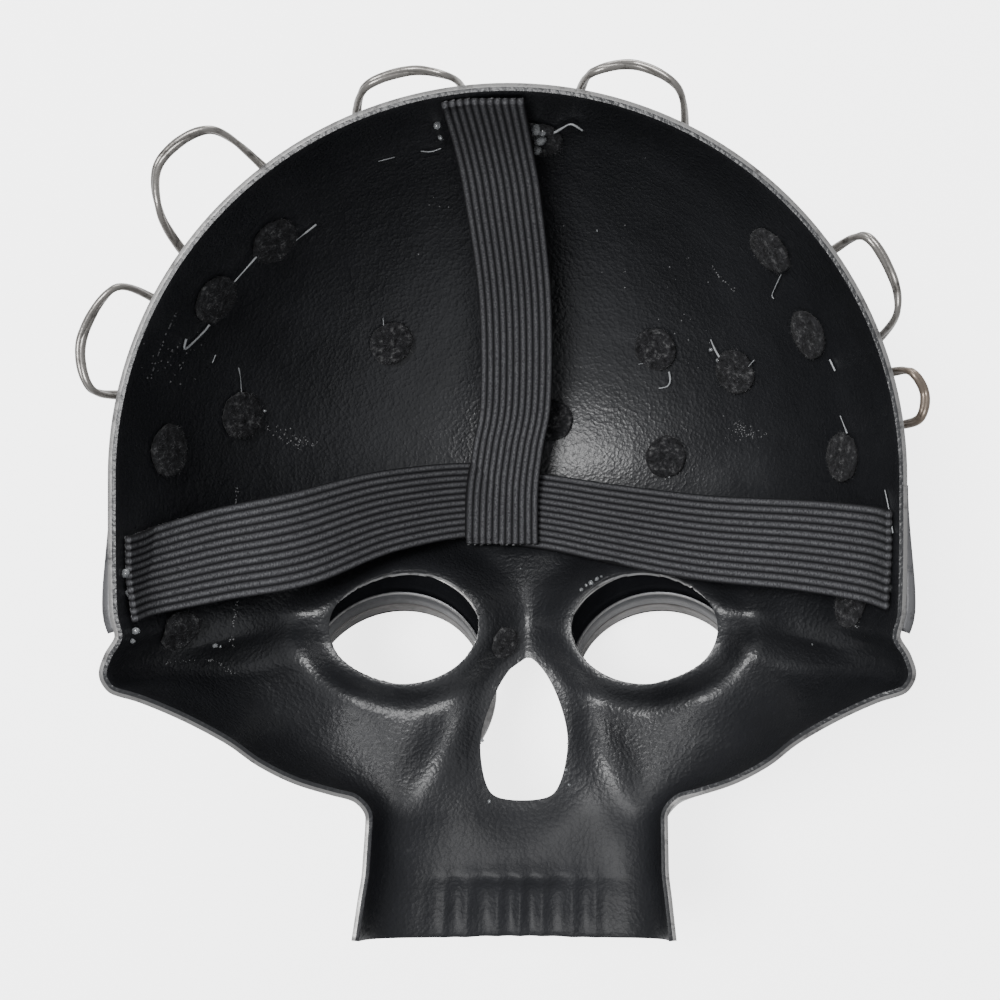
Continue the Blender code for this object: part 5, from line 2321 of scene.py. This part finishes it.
    def build(self, shell: Shell, strand: Tree, beads: Tree) -> None:
        """Builds the strands, the drops and the crumbs.

        Args:
            shell: the shell that they lie on.
            strand: tree of the strands.
            beads: tree of the drops and crumbs.
        """
        pale = ClearGlue("pale_glue", (0.33, 0.34, 0.35), transmission=0.25, roughness=0.3).make()
        clear = ClearGlue("clear_glue", (0.30, 0.31, 0.32), transmission=0.65, roughness=0.12).make()
        dust = ClearGlue("glue_dust", (0.085, 0.085, 0.088), transmission=0.1, roughness=0.45).make()
        for name, radius, lift, places in self.strands:
            points = [shell.seated(x, y, lift) for x, y in places]
            finished(strand.grow("strand_" + name, curve_source(points, 8), pale, Radius=radius), Slot.SHELL)
        points = [shell.seated(x, y, lift) for x, y, lift, _size in self.drops]
        points += [shell.seated(x, y, self.bead_lift) for x, y, _size in self.eye_beads]
        sizes = [drop[3] for drop in self.drops] + [bead[2] for bead in self.eye_beads]
        finished(beads.grow("glue_drops", point_source(points, sizes), clear, Lump=0.3), Slot.SHELL)
        for name, crumbs, spread, places in self.trails:
            chance = random.Random(name)
            path = curve_through(places, 12)
            points, sizes = [], []
            for _crumb in range(crumbs):
                x, y = chance.choice(path)
                x, y = x + chance.gauss(0.0, spread / 2.0), y + chance.gauss(0.0, spread / 2.0)
                points.append(shell.seated(x, y, self.crumb_lift))
                sizes.append(chance.uniform(*self.crumb_sizes))
            source = point_source(points, sizes)
            finished(beads.grow("crumbs_" + name, source, dust, Lump=0.04, Flat=0.5), Slot.SHELL)


@dataclass(frozen=True)
class Studio:
    """Camera straight above, soft light near it, pale floor."""

    camera_x: float = 0.0212
    camera_height: float = 0.2400
    lens: float = 38.92
    shift_x: float = -0.103

    def camera(self) -> None:
        """Builds the camera over the hollow."""
        data = bpy.data.cameras.new("camera")
        data.sensor_width = 36.0
        data.lens = self.lens
        data.shift_x = self.shift_x
        data.clip_start = 0.01
        camera = bpy.data.objects.new("camera", data)
        camera.location = (self.camera_x, SHIFT_Y, RIM_HEIGHT + self.camera_height)
        bpy.context.scene.collection.objects.link(camera)
        bpy.context.scene.camera = camera

    @staticmethod
    def soft_light(name: str, place: tuple[float, float, float], size: float, power: float) -> None:
        """One soft round light that faces the mask.

        Args:
            name: its name.
            place: where it stands.
            size: its diameter.
            power: its watts.
        """
        data = bpy.data.lights.new(name, "AREA")
        data.shape = "DISK"
        data.size = size
        data.energy = power
        light = bpy.data.objects.new(name, data)
        light.location = place
        aim = Vector((0.0, 0.0, 0.04)) - Vector(place)
        light.rotation_mode = "QUATERNION"
        light.rotation_quaternion = aim.to_track_quat("-Z", "Y")
        bpy.context.scene.collection.objects.link(light)

    def build(self) -> None:
        """Builds the camera, the lights and the floor."""
        self.camera()
        world = bpy.data.worlds.new("studio")
        world.use_nodes = True
        sky = world.node_tree.nodes["Background"].inputs
        sky["Color"].default_value = (0.96, 0.975, 1.0, 1.0)
        sky["Strength"].default_value = 0.72
        bpy.context.scene.world = world
        self.soft_light("key", (-0.25, 0.15, 0.90), size=0.36, power=9.6)
        self.soft_light("window", (0.10, 1.20, 0.50), size=0.6, power=9.0)
        Floor().make()


def main() -> None:
    """Builds every piece in order and reports it."""
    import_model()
    Studio().build()
    shell = Shell()
    shell.build()
    Straps().build(shell, Trees.windings())
    FeltDots().build(shell, Trees.fuzz())
    WireLoops().build(shell, Trees.wire())
    for side in Side:
        Goggle(side).build(shell)
    TempleStraps().build(shell)
    Glue().build(shell, Trees.strand(), Trees.beads())


if __name__ == "__main__":
    main()
